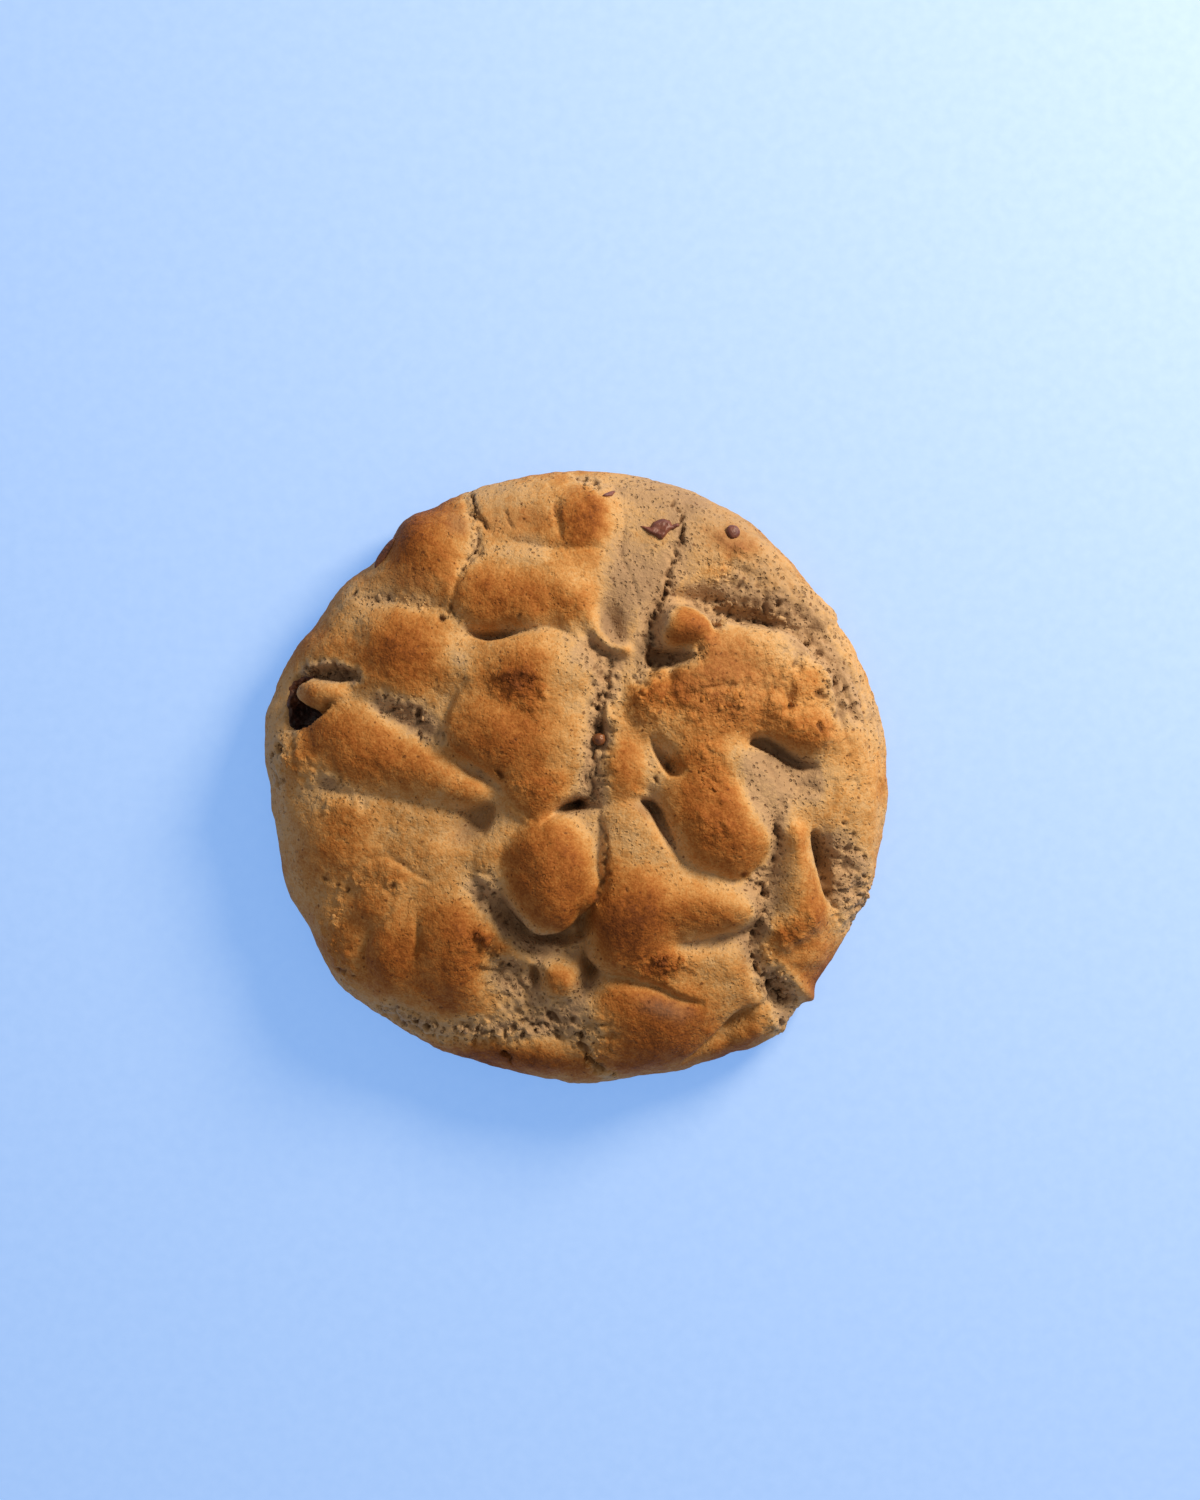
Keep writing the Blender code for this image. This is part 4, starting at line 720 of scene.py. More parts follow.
def evened(share, height, steps):
    run = np.concatenate([[0], np.cumsum(np.hypot(np.diff(share) * RIM_RADIUS, np.diff(height)))])
    at = np.linspace(0, run[-1], steps + 1)
    return np.interp(at, run, share), np.interp(at, run, height)


def dome_meridian():
    share = np.sin(np.linspace(0, math.pi / 2, 400))
    height = WAIST_HEIGHT + (CROWN_HEIGHT - WAIST_HEIGHT) * np.sqrt(np.clip(1 - share**SHOULDER_POWER, 0, 1))
    drop = np.linspace(0, 1, 120)
    low_share = BASE_SHARE + (1 - BASE_SHARE) * np.clip(1 - drop**2.5, 0, 1) ** 0.4
    return evened(share, height, TOP_RINGS), evened(low_share, WAIST_HEIGHT * (1 - drop), SIDE_RINGS)


def cells(x, y, z, size, seed):
    """Distance to the nearest of one point drawn in each cube, over the cube's side, and that cube's draw."""
    draw = np.random.default_rng(seed)
    order = draw.permutation(256)
    shift = draw.uniform(0.1, 0.9, (256, 3))
    value = draw.uniform(0, 1, 256)
    place = np.stack([x, y, z]) / size
    low = np.floor(place).astype(int)
    best = np.full(x.shape, 9.0)
    kind = np.zeros(x.shape)
    for i, j, k in itertools.product((-1, 0, 1), repeat=3):
        c = drawn_at(order, low, i, j, k)
        far = np.sqrt(
            (low[0] + i + shift[c, 0] - place[0]) ** 2
            + (low[1] + j + shift[c, 1] - place[1]) ** 2
            + (low[2] + k + shift[c, 2] - place[2]) ** 2
        )
        near = far < best
        best = np.where(near, far, best)
        kind = np.where(near, value[c], kind)
    return best, kind


def band(x, y, lines):
    """How strongly a place belongs to any of the lines, from 0 to 1."""
    found = np.zeros_like(x)
    for half_width, strength, points in lines:
        best, _, _ = near_line(x, y, points)
        found = np.maximum(found, strength * np.clip(1.35 - best / half_width, 0, 1))
    return found


def smooth_step(value, low, high):
    t = np.clip((value - low) / (high - low), 0, 1)
    return t * t * (3 - 2 * t)


def all_holes():
    """The single holes, and those of the chains: (x, y, half length, half width, turn in degrees, depth)."""
    draw = np.random.default_rng(71)
    holes = [(x, y, radius * 1.2, radius * 0.9, 40 * i, depth) for i, (x, y, radius, depth) in enumerate(HOLES)]
    for spacing, radius, depth, spread, points in CHAINS:
        line = smooth_curve(points, 12)
        starts = np.concatenate([[0], np.cumsum(np.linalg.norm(np.diff(line, axis=0), axis=1))])
        at = 0.0
        while at < starts[-1]:
            x = np.interp(at, starts, line[:, 0]) + spread * draw.uniform(-1, 1)
            y = np.interp(at, starts, line[:, 1]) + spread * draw.uniform(-1, 1)
            length, width = radius * draw.uniform(0.8, 1.9), radius * draw.uniform(0.6, 1.1)
            holes.append((x, y, length, width, draw.uniform(0, 180), depth * draw.uniform(0.6, 1.3)))
            at += spacing * draw.uniform(0.6, 1.4)
    return holes


def ring_faces(counts):
    """The faces between rings with these counts of points: the top, then the side, then the flat underside."""
    starts = np.concatenate([[0], np.cumsum(counts)])
    faces = []
    for k in range(1, TOP_RINGS + 1):
        inner, outer = int(starts[k - 1]), int(starts[k])
        for sixth in range(6):
            for j in range(k):
                a = outer + sixth * k + j
                b = outer + (sixth * k + j + 1) % counts[k]
                c = inner + (sixth * (k - 1) + j) % counts[k - 1]
                faces.append((c, a, b))
                if j < k - 1:
                    faces.append((c, b, inner + (sixth * (k - 1) + j + 1) % counts[k - 1]))
    for k in range(TOP_RINGS + 1, len(counts)):
        upper, lower, n = int(starts[k - 1]), int(starts[k]), counts[k]
        for j in range(n):
            following = (j + 1) % n
            faces.append((upper + j, lower + j, lower + following))
            faces.append((upper + j, lower + following, upper + following))
    bottom = int(starts[-2])
    faces.append(tuple(range(bottom + counts[-1] - 1, bottom - 1, -1)))
    return faces


def make_dough():
    (top_share, top_height), (low_share, low_height) = dome_meridian()
    share = np.concatenate([top_share, low_share[1:]])
    height = np.concatenate([top_height, low_height[1:]])
    along_share, along_height = np.gradient(share * RIM_RADIUS), np.gradient(height)
    length = np.hypot(along_share, along_height)
    out_share, out_height = -along_height / length, along_share / length
    counts = [1] + [6 * min(k, TOP_RINGS) for k in range(1, TOP_RINGS + SIDE_RINGS + 1)]
    ring = np.repeat(np.arange(len(counts)), counts)
    angle = np.concatenate([2 * math.pi * np.arange(n) / n for n in counts])
    radius = rim_radius(angle)
    x = share[ring] * radius * np.cos(angle)
    y = share[ring] * radius * np.sin(angle)
    z = height[ring]

    inward = np.clip((share[ring] - 0.9) / 0.1, 0, 1) ** 2
    keep = np.where(ring <= TOP_RINGS, 1 - (1 - RIM_RELIEF) * inward, RIM_RELIEF * z / WAIST_HEIGHT)
    big = big_relief(x, y)
    bumps = 0.28 * lattice_noise(x, y, z, 4.5, 21) + 0.1 * lattice_noise(x, y, z, 1.9, 22)
    above_floor = np.clip(z / 2, 0, 1)
    out = big * keep + bumps * above_floor

    for pit in PITS:
        out -= pit_depth(x, y, *pit) * keep

    # crumb and crust detail, in warped places so that nothing runs straight
    wx = x + 0.5 * lattice_noise(x, y, z, 2.2, 31) + 0.25 * lattice_noise(x, y, z, 0.9, 32)
    wy = y + 0.5 * lattice_noise(x, y, z, 2.2, 33) + 0.25 * lattice_noise(x, y, z, 0.9, 34)
    crumb = band(wx, wy, CRUMB)
    grainy = band(wx, wy, GRAINY)
    patch = 0.5 + 0.5 * lattice_noise(x, y, z, 6.0, 35)
    crumb = np.clip(crumb + 0.25 * (patch - 0.6), 0, 1)
    open_crumb = smooth_step(crumb, 0.15, 0.8)
    far, kind = cells(wx, wy, z, TORN_CELL, 41)
    out -= TORN_DEPTH * np.clip(1 - far / (0.2 + 0.5 * kind), 0, 1) * open_crumb * above_floor
    torn = np.clip(1 - np.abs(lattice_noise(wx, wy, z, 2.0, 44)) / 0.2, 0, 1) * open_crumb
    out -= 0.6 * torn * above_floor
    out += 0.3 * open_crumb * lattice_noise(wx, wy, z, 1.1, 36) * above_floor
    grain_far, grain_kind = cells(wx, wy, z, GRAIN_CELL, 43)
    grain = np.clip(1 - (grain_far / 0.62) ** 2, 0, 1) * (grain_kind > 0.35) * smooth_step(grainy, 0.1, 0.8)
    out += GRAIN_HEIGHT * grain * above_floor
    out += 0.08 * lattice_noise(x, y, z, 0.75, 37) * above_floor

    # streaks that run along the upper right edge
    streak = lattice_noise(np.hypot(wx, wy), 9 * angle, 0.3 * z, 1.3, 45)
    at_rim = smooth_step(np.hypot(x, y), 36, 43) * smooth_step(np.cos(angle - math.radians(28)), 0.72, 0.9)
    at_rim = at_rim * above_floor
    out += STREAK_DEPTH * streak * at_rim
    furrow = np.clip(1 - np.abs(streak + 0.25) / 0.12, 0, 1) * at_rim
    out -= STREAK_DEPTH * furrow

    # where cracks, holes and furrows get painted shade in their colour
    crack_shade = np.maximum(0.35 * torn, 0.4 * furrow)
    for depth, half_width, points in CRACKS:
        best, along, _ = near_line(wx, wy, points)
        width = half_width * (0.7 + 0.6 * kind)
        cut = np.clip(1.15 - best / width, 0, 1) * np.clip(8 * along * (1 - along), 0.25, 1)
        crack_shade = np.maximum(crack_shade, cut)
        out -= depth * cut * above_floor
    for hx, hy, length, width, turn, depth in all_holes():
        near = np.flatnonzero(np.hypot(x - hx, y - hy) < 2 * max(length, width) + 1)
        u, v = turned(wx[near], wy[near], hx, hy, turn)
        cut = np.clip(1.25 - (u / length) ** 2 - (v / width) ** 2, 0, 1)
        crack_shade[near] = np.maximum(crack_shade[near], cut)
        out[near] -= depth * cut * above_floor[near]

    # the browning follows the relief, with an uneven edge
    uneven = 0.9 * lattice_noise(x, y, z, 7.0, 51) + 0.5 * lattice_noise(x, y, z, 3.0, 52)
    uneven += 0.3 * lattice_noise(x, y, z, 1.2, 53)
    brown = 0.16 + 0.64 * smooth_step(big + uneven, -1.4, 4.8)
    for *patch_at, amount in BROWNING:
        brown += amount * np.exp(-oval(wx, wy, *patch_at))
    brown += 0.05 * lattice_noise(x, y, z, 0.8, 54)
    # greyer dough, and painted shade in the deepest hollows and creases
    dull_and_shade = np.zeros_like(x)
    for *patch_at, amount in DULL_AND_SHADE:
        dull_and_shade = np.maximum(dull_and_shade, amount * np.exp(-oval(wx, wy, *patch_at) ** 1.5))
    brown -= 0.4 * crumb
    side = np.clip((WAIST_HEIGHT + 3 - z) / 7, 0, 1) * (share[ring] > 0.9)
    brown = np.where(ring == len(counts) - 1, 0.7, np.clip(brown + 0.3 * side, 0, 1))

    x = x + out * out_share[ring] * np.cos(angle)
    y = y + out * out_share[ring] * np.sin(angle)
    z = np.where(ring == len(counts) - 1, 0, np.maximum(z + out * out_height[ring], 0.4))

    made = new_piece("baked_cookie", np.column_stack([x, y, z]), ring_faces(counts))
    for name, values in zip(LAYERS, (brown, crumb, grainy, crack_shade, dull_and_shade)):
        layer = made.data.attributes.new(name, "FLOAT", "POINT")
        layer.data.foreach_set("value", values.astype(np.float32))
    return made


# Chocolate pieces laid on the dough, by their outline: (name, rise, width of the rounded edge, roughness, outline)
POOLS = [
    ("chocolate_melt", 0.5, 0.7, 0.3, [(-42.3, 15.3), (-42.2, 16.5), (-44.6, 16.3), (-45.7, 15.5), (-46.5, 14.3),
        (-46.9, 12.4), (-46.7, 10.2), (-46.5, 8.3), (-45.3, 7.5), (-43.6, 7.9), (-42.0, 8.5), (-40.4, 9.8),
        (-39.2, 11.4), (-38.7, 11.9), (-39.7, 11.9), (-40.4, 10.9), (-41.4, 10.7), (-42.4, 11.3), (-43.6, 11.7),
        (-44.6, 12.7), (-44.6, 13.8), (-43.7, 14.8)]),
    ("chocolate_flake", 0.7, 0.6, 0.16, [(10.0, 40.4), (10.9, 40.2), (11.6, 40.3), (12.0, 40.9), (12.8, 41.4),
        (14.2, 41.4), (14.9, 41.1), (15.2, 40.6), (15.9, 40.9), (16.2, 40.4), (15.4, 39.8), (14.8, 39.6),
        (14.3, 39.0), (13.7, 38.4), (13.6, 38.1), (12.8, 38.0), (12.2, 38.5), (11.2, 39.2), (10.4, 39.9)]),
    ("chocolate_sliver_top", 0.5, 0.4, 0.12, [(3.9, 45.1), (4.8, 45.1), (6.0, 45.6), (6.1, 46.0), (5.0, 45.8),
        (4.2, 45.5)]),
]

DROP_SEED = 500
# Round chocolate drops: (name, x, y, half length, half width, half height, turn in degrees, share above the dough)
DROPS = [
    ("chocolate_chip_rim", 24.7, 39.3, 1.25, 1.15, 1.0, 60, 0.55),
    ("chocolate_chip_middle", 4.1, 6.0, 1.1, 1.0, 1.0, 20, 0.95),
    ("chocolate_sliver_edge", -30.9, 35.9, 2.8, 0.75, 0.85, 54, 0.56),
]

# Loose and half-loose crumbs: (x, y, half length, half width, turn in degrees, how many, smallest radius,
# largest radius, browner than the dough by)
CRUMBS = [
    (23.2, 25.2, 1.8, 0.8, 10, 14, 0.3, 0.7, 0.0),
    (14.4, -29.4, 2.8, 1.5, -10, 30, 0.25, 0.7, 0.08),
    (32.2, -33.6, 1.3, 2.8, 10, 30, 0.25, 0.7, 0.0),
    (46.6, -19.5, 0.8, 4.8, -12, 26, 0.2, 0.5, 0.0),
    (23.4, 33.0, 2.8, 1.6, 20, 14, 0.25, 0.5, 0.0),
    (-12.4, -29.0, 3.4, 3.4, 0, 44, 0.2, 0.5, 0.0),
    (-14.0, -40.2, 10.0, 1.3, -2, 50, 0.2, 0.5, 0.0),
    (-15.0, -25.2, 1.5, 0.9, 0, 9, 0.35, 0.75, 0.08),
    (28.6, 26.0, 7.0, 1.3, -16, 46, 0.2, 0.5, 0.0),
    (38.4, 17.0, 1.4, 5.0, 25, 22, 0.2, 0.4, 0.0),
    (3.2, 11.0, 1.1, 5.5, -5, 30, 0.2, 0.45, 0.0),
    (3.3, 3.4, 0.1, 0.1, 0, 1, 0.9, 0.9, -0.1),
    (30.0, -24.0, 0.8, 8.0, 3, 34, 0.2, 0.55, 0.0),
    (42.6, -17.0, 1.8, 4.6, 12, 24, 0.2, 0.4, 0.0),
    (-47.0, 3.0, 0.9, 3.4, 0, 22, 0.2, 0.5, 0.0),
    (1.8, 46.4, 1.8, 0.7, -15, 12, 0.2, 0.5, 0.0),
    (2.4, -44.4, 1.3, 2.8, -25, 20, 0.2, 0.5, 0.0),
    (-39.4, 16.6, 3.4, 0.7, 0, 24, 0.16, 0.36, 0.0),
    (-9.0, 15.5, 2.6, 1.2, 0, 18, 0.2, 0.5, 0.2),
    (-16.6, 42.0, 0.9, 3.0, -8, 14, 0.2, 0.4, 0.0),
    (12.0, 12.6, 2.4, 2.0, 0, 12, 0.3, 0.6, 0.0),
    (23.0, 12.2, 4.4, 1.8, 5, 20, 0.3, 0.6, 0.0),
    (21.0, 1.4, 1.8, 3.4, 10, 12, 0.3, 0.55, 0.08),
    (14.4, 19.0, 2.4, 1.0, 0, 12, 0.2, 0.4, 0.0),
    (-29.0, 28.0, 6.0, 1.2, -4, 20, 0.2, 0.4, 0.0),
    (-27.0, 9.6, 3.4, 1.2, -20, 16, 0.2, 0.4, 0.0),
    (-38.6, -24.0, 1.2, 6.0, 0, 18, 0.25, 0.5, 0.0),
]


def drop_onto(tree, x, y):
    """The place straight below (x, y) on the dough, in millimetres, the surface's direction there, and the face."""
    place, normal, face, _ = tree.ray_cast(Vector((x * MM, y * MM, 0.1)), Vector((0, 0, -1)))
    return None if place is None else (place / MM, normal, face)


def new_piece(name, verts, faces):
    mesh = bpy.data.meshes.new(name)
    mesh.from_pydata((np.array(verts) * MM).tolist(), [], faces)
    mesh.update()
    mesh.shade_smooth()
    piece = bpy.data.objects.new(name, mesh)
    bpy.context.scene.collection.objects.link(piece)
    return piece


def make_pool(tree, name, rise, edge, roughness, outline):
    """A thin piece that follows the dough inside an outline and dips under it along the edge."""
    corners = np.array(outline)
    (x0, y0), (x1, y1) = corners.min(axis=0) - 0.5, corners.max(axis=0) + 0.5
    gx, gy = np.meshgrid(np.arange(x0, x1, POOL_STEP), np.arange(y0, y1, POOL_STEP), indexing="ij")
    flat = np.zeros_like(gx)
    wx = gx + 0.22 * lattice_noise(gx, gy, flat, 0.9, 81)
    wy = gy + 0.22 * lattice_noise(gx, gy, flat, 0.9, 82)
    into = within(wx, wy, outline)
    off_the_dough = [Vector((0, 0, 2))]
    ground = [(drop_onto(tree, a, b) or off_the_dough)[0].z for a, b in zip(gx.flat, gy.flat)]
    ground = np.array(ground).reshape(gx.shape)
    level = np.percentile(ground[into > 0.2], 85)
    ground = np.where(into > 0, np.minimum(ground, level + 0.8), ground)
    round_edge = 1 - (1 - np.clip(into / edge, 0, 1)) ** 2
    rough = roughness * (lattice_noise(gx, gy, flat, 1.1, 83) + 0.7 * lattice_noise(gx, gy, flat, 0.5, 84))
    top = ground + (rise + rough) * round_edge + np.clip(into, -0.4, 0) - 0.1 * (into < 0)
    keep = into > -0.35
    number = {}
    verts = []
    for i, j in zip(*np.nonzero(keep)):
        number[i, j] = len(verts) // 2
        verts += [(gx[i, j], gy[i, j], top[i, j]), (gx[i, j], gy[i, j], ground[i, j] - 0.9)]
    faces, sides = [], {}
    for i, j in number:
        square = [(i, j), (i + 1, j), (i + 1, j + 1), (i, j + 1)]
        if all(corner in number for corner in square):
            n = [2 * number[corner] for corner in square]
            faces += [tuple(n), tuple(a + 1 for a in reversed(n))]
            for a, b in zip(n, n[1:] + n[:1]):
                if (b, a) in sides:
                    del sides[b, a]
                else:
                    sides[a, b] = True
    faces += [(b, a, a + 1, b + 1) for a, b in sides]
    used = sorted({a for face in faces for a in face})
    place = {a: k for k, a in enumerate(used)}
    return new_piece(name + "_set", [verts[a] for a in used], [tuple(place[a] for a in face) for face in faces])


def lump(level, centre, size, turn, roughness, seed, upright=Vector((0, 0, 1))):
    """Points and faces of a ball pushed about by noise, its height along upright."""
    ball = bmesh.new()
    bmesh.ops.create_icosphere(ball, subdivisions=level, radius=1)
    p = np.array([v.co for v in ball.verts])
    faces = [tuple(v.index for v in f.verts) for f in ball.faces]
    ball.free()
    shift = 37.0 * seed
    p *= 1 + roughness * lattice_noise(p[:, 0] + shift, p[:, 1], p[:, 2], 0.9, 85)[:, None]
    p *= 1 + 0.5 * roughness * lattice_noise(p[:, 0] + shift, p[:, 1], p[:, 2], 0.4, 86)[:, None]
    p *= np.array(size)
    c, s = math.cos(math.radians(turn)), math.sin(math.radians(turn))
    p = np.column_stack([p[:, 0] * c - p[:, 1] * s, p[:, 0] * s + p[:, 1] * c, p[:, 2]])
    lean = np.array(Vector((0, 0, 1)).rotation_difference(upright).to_matrix())
    return p @ lean.T + np.array(centre), faces


def make_crumbs(tree, dough):
    draw = np.random.default_rng(91)
    shade = np.zeros(len(dough.data.vertices), np.float32)
    dough.data.attributes["brown"].data.foreach_get("value", shade)
    verts, faces, browns = [], [], []
    seed = 0
    for cx, cy, rx, ry, turn, count, smallest, largest, brown in CRUMBS:
        for _ in range(count):
            seed += 1
            around, away = draw.uniform(0, 2 * math.pi), math.sqrt(draw.uniform())
            u, v = rx * away * math.cos(around), ry * away * math.sin(around)
            c, s = math.cos(math.radians(turn)), math.sin(math.radians(turn))
            radius = smallest + (largest - smallest) * draw.uniform() ** 2
            size = radius * draw.uniform(0.6, 1.3, 3) * (1.2, 1.0, 0.8)
            sunk = draw.uniform(-0.75, -0.15)
            turned_by, tone = draw.uniform(0, 180), brown + draw.uniform(-0.1, 0.06)
            found = drop_onto(tree, cx + u * c - v * s, cy + u * s + v * c)
            if found is None or found[0].z < 1.5:
                continue
            centre = np.array(found[0]) + sunk * radius * np.array(found[1])
            points, around_it = lump(2, centre, size, turned_by, 0.45, seed)
            faces += [tuple(a + len(browns) for a in face) for face in around_it]
            verts.append(points)
            browns += [tone + shade[dough.data.polygons[found[2]].vertices[0]]] * len(points)
    piece = new_piece("baked_crumbs", np.concatenate(verts), faces)
    for name in LAYERS:
        layer = piece.data.attributes.new(name, "FLOAT", "POINT")
        if name == "brown":
            layer.data.foreach_set("value", np.clip(browns, 0, 1).astype(np.float32))
    return piece


# ---- looks: colours are 8-bit display values, and a pair is the darker one, then the lighter one ----
BROWNING_COLOURS = [
    (0.0, (166, 133, 100)),
    (0.1, (178, 144, 106)),
    (0.25, (190, 150, 102)),
    (0.42, (181, 131, 76)),
    (0.62, (162, 104, 49)),
    (0.8, (139, 79, 29)),
    (1.0, (100, 52, 17)),
]
# the greyer dough's colour, also used as painted shade in the deepest hollows
DULL_AND_SHADE_COLOUR = (116, 92, 74)
SPECK_COLOUR = (82, 42, 18)
# the colour of painted shade inside the pores
PORE_SHADE_COLOUR = (98, 62, 36)
# the colour of painted shade inside cracks, holes and furrows
CRACK_SHADE_COLOUR = (78, 46, 25)
SPECK_CELL = 1.35
PORE_CELL = 0.72
CRUST_ROUGHNESS = 0.75
CRUST_SHINE = 0.16
MILK = ((84, 42, 32), (116, 64, 48))
BROWNED = ((88, 48, 26), (128, 78, 44))
# the melt's low part: dark chocolate with painted shade
MELT_LOW_IN_SHADE = ((30, 15, 12), (58, 30, 22))
MELT_THIN = ((78, 38, 22), (122, 70, 38))
FLOOR_COLOURS = ((140, 148, 150), (146, 154, 156))
FLOOR_SIZE_M = 4.0


class Nodes:
    """Short calls for building a material's nodes."""

    def __init__(self, name):
        self.material = bpy.data.materials.new(name)
        self.material.use_nodes = True
        self.tree = self.material.node_tree
        self.shader = self.tree.nodes["Principled BSDF"]
        coords = self.tree.nodes.new("ShaderNodeTexCoord")
        self.place = coords.outputs["Object"]

    def link(self, source, socket):
        if hasattr(source, "is_output"):
            self.tree.links.new(source, socket)
        else:
            socket.default_value = source

    def new(self, kind, inputs, **settings):
        """The outputs of a new node that has these settings and inputs."""
        node = self.tree.nodes.new(kind)
        for name, value in settings.items():
            setattr(node, name, value)
        for name, value in inputs.items():
            self.link(value, node.inputs[name])
        return node.outputs

    def bent(self, size_mm, amount_mm):
        """Places pushed about by noise, so that what is laid out on them is irregular."""
        noise = self.new("ShaderNodeTexNoise", {"Scale": 1000 / size_mm, "Detail": 2, "Vector": self.place})
        push = {0: noise["Color"], 1: (2 * amount_mm * MM,) * 3, 2: self.place}
        return self.new("ShaderNodeVectorMath", push, operation="MULTIPLY_ADD")[0]

    def noise(self, size_mm, detail, rough, place=None):
        inputs = {"Scale": 1000 / size_mm, "Detail": detail, "Roughness": rough, "Vector": place or self.place}
        return self.new("ShaderNodeTexNoise", inputs)["Fac"]

    def cells(self, size_mm, place):
        made = self.new("ShaderNodeTexVoronoi", {"Scale": 1000 / size_mm, "Vector": place})
        return made["Distance"], made["Color"]

    def maths(self, kind, a, b, clamp=False):
        return self.new("ShaderNodeMath", {0: a, 1: b}, operation=kind, use_clamp=clamp)[0]

    def steps(self, value, low, high, to_low=0.0, to_high=1.0):
        inputs = {"Value": value, "From Min": low, "From Max": high, "To Min": to_low, "To Max": to_high}
        return self.new("ShaderNodeMapRange", inputs, interpolation_type="SMOOTHSTEP")["Result"]

    def layer(self, name):
        return self.new("ShaderNodeAttribute", {}, attribute_name=name)["Fac"]

    def ramp(self, value, stops):
        node = self.tree.nodes.new("ShaderNodeValToRGB")
        ramp = node.color_ramp
        ramp.elements[0].position, ramp.elements[0].color = stops[0][0], srgb(stops[0][1])
        ramp.elements[1].position, ramp.elements[1].color = stops[-1][0], srgb(stops[-1][1])
        for position, colour in stops[1:-1]:
            ramp.elements.new(position).color = srgb(colour)
        self.link(value, node.inputs["Fac"])
        return node.outputs["Color"]

    def mix(self, amount, a, b):
        return self.new("ShaderNodeMix", {"Factor": amount, "A": a, "B": b}, data_type="RGBA")["Result"]

    def bump(self, height, strength, distance_mm, normal=None):
        inputs = {"Strength": strength, "Distance": distance_mm * MM, "Height": height}
        if normal:
            inputs["Normal"] = normal
        return self.new("ShaderNodeBump", inputs)["Normal"]

    def surface(self, colour, roughness, normal=None):
        self.link(colour, self.shader.inputs["Base Color"])
        self.shader.inputs["Roughness"].default_value = roughness
        if normal:
            self.link(normal, self.shader.inputs["Normal"])
        return self.material


def srgb(colour):
    """An 8-bit display colour as linear values."""
    linear = [(c / 255 / 12.92) if c / 255 <= 0.04045 else ((c / 255 + 0.055) / 1.055) ** 2.4 for c in colour]
    return (*linear, 1.0)


def crust_material():
    n = Nodes("baked_crust")
    brown, crumb, grainy, crack_shade, dull_and_shade = (n.layer(name) for name in LAYERS)
    bent = n.bent(0.9, 0.35)
    mottle = n.noise(2.6, 4, 0.62)
    grain = n.noise(0.62, 2, 0.55, bent)
    fine = n.noise(0.34, 1, 0.5)
    tone = n.maths("ADD", brown, n.steps(mottle, 0.3, 0.7, -0.06, 0.06))
    tone = n.maths("ADD", tone, n.steps(grain, 0.3, 0.7, -0.05, 0.05))
    tone = n.maths("ADD", tone, n.steps(fine, 0.3, 0.7, -0.06, 0.06))
    # greyer dough, and painted shade in the deepest hollows and creases
    colour = n.mix(dull_and_shade, n.ramp(tone, BROWNING_COLOURS), srgb(DULL_AND_SHADE_COLOUR))
    # spice specks in some of the cells, and pores, painted dark as the shade inside them, that are most frequent in
    # pale and open places
    far, draw = n.cells(SPECK_CELL, bent)
    speck = n.steps(n.maths("SUBTRACT", far, n.maths("MULTIPLY", draw, 0.32)), -0.13, -0.02, 1.0, 0.0)
    colour = n.mix(n.maths("MULTIPLY", speck, 0.7), colour, srgb(SPECK_COLOUR))
    patch = n.noise(4.5, 3, 0.6)
    open_place = n.maths("ADD", n.steps(brown, 0.1, 0.6, 0.5, 0.0), n.steps(patch, 0.35, 0.65, -0.25, 0.35))
    open_place = n.maths("ADD", open_place, n.maths("MULTIPLY", crumb, 0.6), True)
    far2, draw2 = n.cells(PORE_CELL, bent)
    pore = n.steps(n.maths("SUBTRACT", far2, n.maths("MULTIPLY", draw2, 0.62)), -0.26, 0.0, 1.0, 0.0)
    pore = n.maths("MULTIPLY", pore, open_place)
    # pores painted dark, as the shade inside them
    colour = n.mix(n.maths("MULTIPLY", pore, 0.48), colour, srgb(PORE_SHADE_COLOUR))
    # painted shade in cracks, holes and furrows
    colour = n.mix(n.maths("MULTIPLY", crack_shade, 0.7, True), colour, srgb(CRACK_SHADE_COLOUR))
    n.shader.inputs["Specular IOR Level"].default_value = CRUST_SHINE
    normal = n.bump(n.maths("ADD", grain, n.maths("MULTIPLY", fine, 0.45)), 0.6, 0.26)
    normal = n.bump(n.noise(1.3, 3, 0.6), 0.55, 0.36, normal)
    normal = n.bump(n.maths("MULTIPLY", pore, -1.0), 0.9, 0.35, normal)
    normal = n.bump(n.maths("MULTIPLY", n.noise(0.9, 2, 0.5, bent), grainy), 0.8, 0.6, normal)
    return n.surface(colour, CRUST_ROUGHNESS, normal)


def chocolate_material(name, low, high, roughness):
    n = Nodes(name)
    colour = n.ramp(n.noise(1.2, 4, 0.6), [(0.3, low), (0.7, high)])
    return n.surface(colour, roughness, n.bump(n.noise(0.6, 3, 0.6), 0.6, 0.2))


def melt_material():
    """Near black in the low part of the pocket, dark chocolate with painted shade over it, reddish where it thins
    out on the dough.
    """
    n = Nodes("dark_chocolate_set")
    split = n.new("ShaderNodeSeparateXYZ", {0: n.place})
    up = n.maths("SUBTRACT", split[1], n.maths("MULTIPLY", split[0], 0.35))
    up = n.maths("ADD", up, n.maths("MULTIPLY", n.noise(1.6, 3, 0.6), 0.004))
    # darker towards the low part of the pocket: painted shade
    base = n.steps(up, 28.2 * MM, 33.4 * MM)
    tone = n.steps(n.noise(0.7, 3, 0.6), 0.35, 0.65)
    low, high = (n.mix(tone, srgb(darker), srgb(lighter)) for darker, lighter in (MELT_LOW_IN_SHADE, MELT_THIN))
    return n.surface(n.mix(base, low, high), 0.55, n.bump(n.noise(0.5, 3, 0.6), 0.7, 0.25))


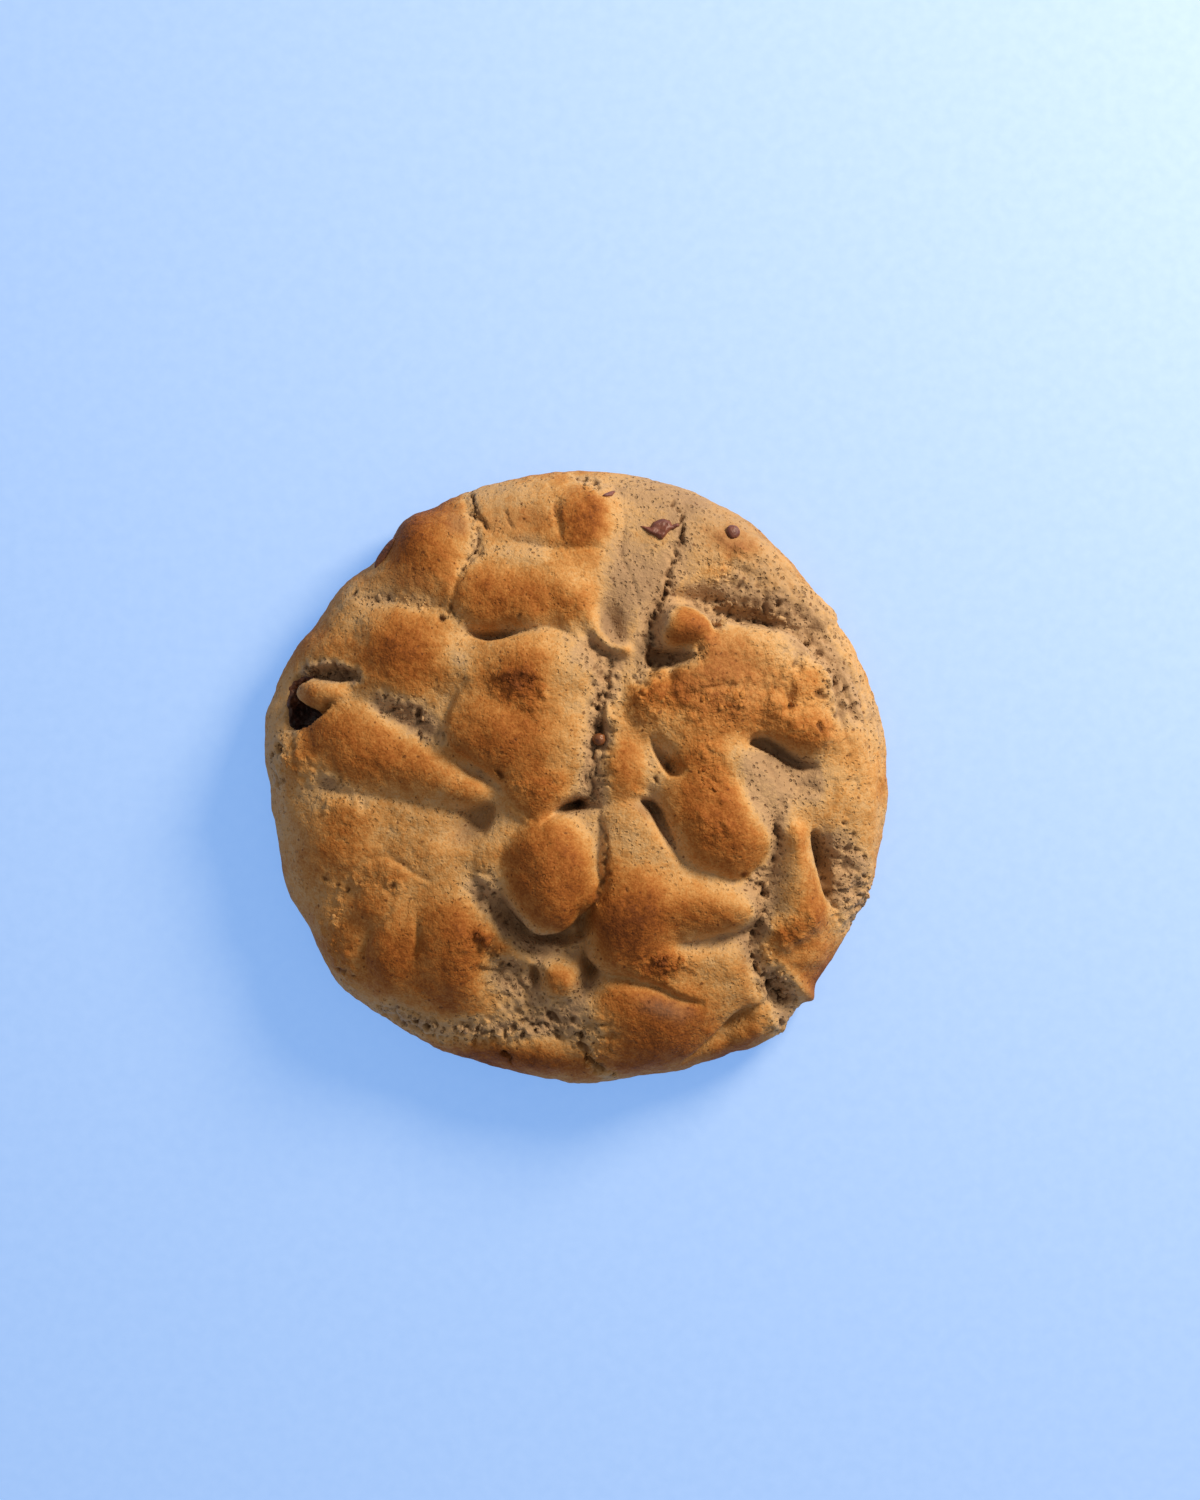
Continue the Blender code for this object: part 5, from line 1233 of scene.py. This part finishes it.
def make_stage():
    bpy.ops.mesh.primitive_plane_add(size=FLOOR_SIZE_M)
    floor = bpy.context.object
    floor.name = "pale_floor"
    n = Nodes("pale_floor")
    colour = n.ramp(n.noise(2.0, 3, 0.5), [(0.3, FLOOR_COLOURS[0]), (0.7, FLOOR_COLOURS[1])])
    n.shader.inputs["Emission Color"].default_value = FLOOR_GLOW
    n.shader.inputs["Emission Strength"].default_value = 1.0
    floor.data.materials.append(n.surface(colour, 0.85))

    scene = bpy.context.scene
    lens = bpy.data.cameras.new("camera")
    camera = bpy.data.objects.new("camera", lens)
    scene.collection.objects.link(camera)
    camera.location = (CAMERA_OVER[0] * MM, CAMERA_OVER[1] * MM, CAMERA_HEIGHT * MM)
    lens.sensor_fit = "AUTO"
    lens.sensor_width = SENSOR_MM
    lens.lens = SENSOR_MM * CAMERA_HEIGHT / (FRAME_HEIGHT_PX / PX_PER_MM)
    scene.camera = camera

    key = bpy.data.lights.new("key", "AREA")
    key.shape = "DISK"
    key.size = KEY_SIZE
    key.energy = KEY_WATTS
    key.color = KEY_COLOUR
    light = bpy.data.objects.new("key", key)
    scene.collection.objects.link(light)
    level = KEY_DISTANCE * math.cos(KEY_ELEVATION)
    above = KEY_DISTANCE * math.sin(KEY_ELEVATION)
    light.location = (level * math.cos(KEY_AZIMUTH), level * math.sin(KEY_AZIMUTH), above)
    light.rotation_euler = light.location.to_track_quat("Z", "Y").to_euler()

    world = bpy.data.worlds.new("studio")
    scene.world = world
    world.use_nodes = True
    background = world.node_tree.nodes["Background"]
    background.inputs["Color"].default_value = SKY_COLOUR
    background.inputs["Strength"].default_value = SKY_STRENGTH
    scene.view_settings.view_transform = "Standard"


cookie = make_dough()
cookie.data.materials.append(crust_material())
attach(cookie, "root")
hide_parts("dough")

corners = [v.co for v in cookie.data.vertices]
dough_tree = BVHTree.FromPolygons(corners, [tuple(p.vertices) for p in cookie.data.polygons])
crumbs = make_crumbs(dough_tree, cookie)
crumbs.data.materials.append(cookie.data.materials[0])
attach(crumbs, "root")

melted = melt_material()
milk = chocolate_material("milk_chocolate_set", *MILK, 0.5)
browned = chocolate_material("browned_chip", *BROWNED, 0.35)
for name, rise, edge, roughness, outline in POOLS:
    piece = make_pool(dough_tree, name, rise, edge, roughness, outline)
    dark = "melt" in name
    piece.data.materials.append(melted if dark else milk)
    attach(piece, "root")
    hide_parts(name)
for seed, (name, x, y, length, width, height, turn, above) in enumerate(DROPS, DROP_SEED):
    ground, normal, _ = drop_onto(dough_tree, x, y)
    centre = ground + normal * height * (2 * above - 1)
    piece = new_piece(name + "_set", *lump(5, centre, (length, width, height), turn, 0.12, seed, normal))
    dark = "edge" in name
    piece.data.materials.append(melted if dark else browned if "middle" in name else milk)
    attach(piece, "root")
    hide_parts(name)

make_stage()
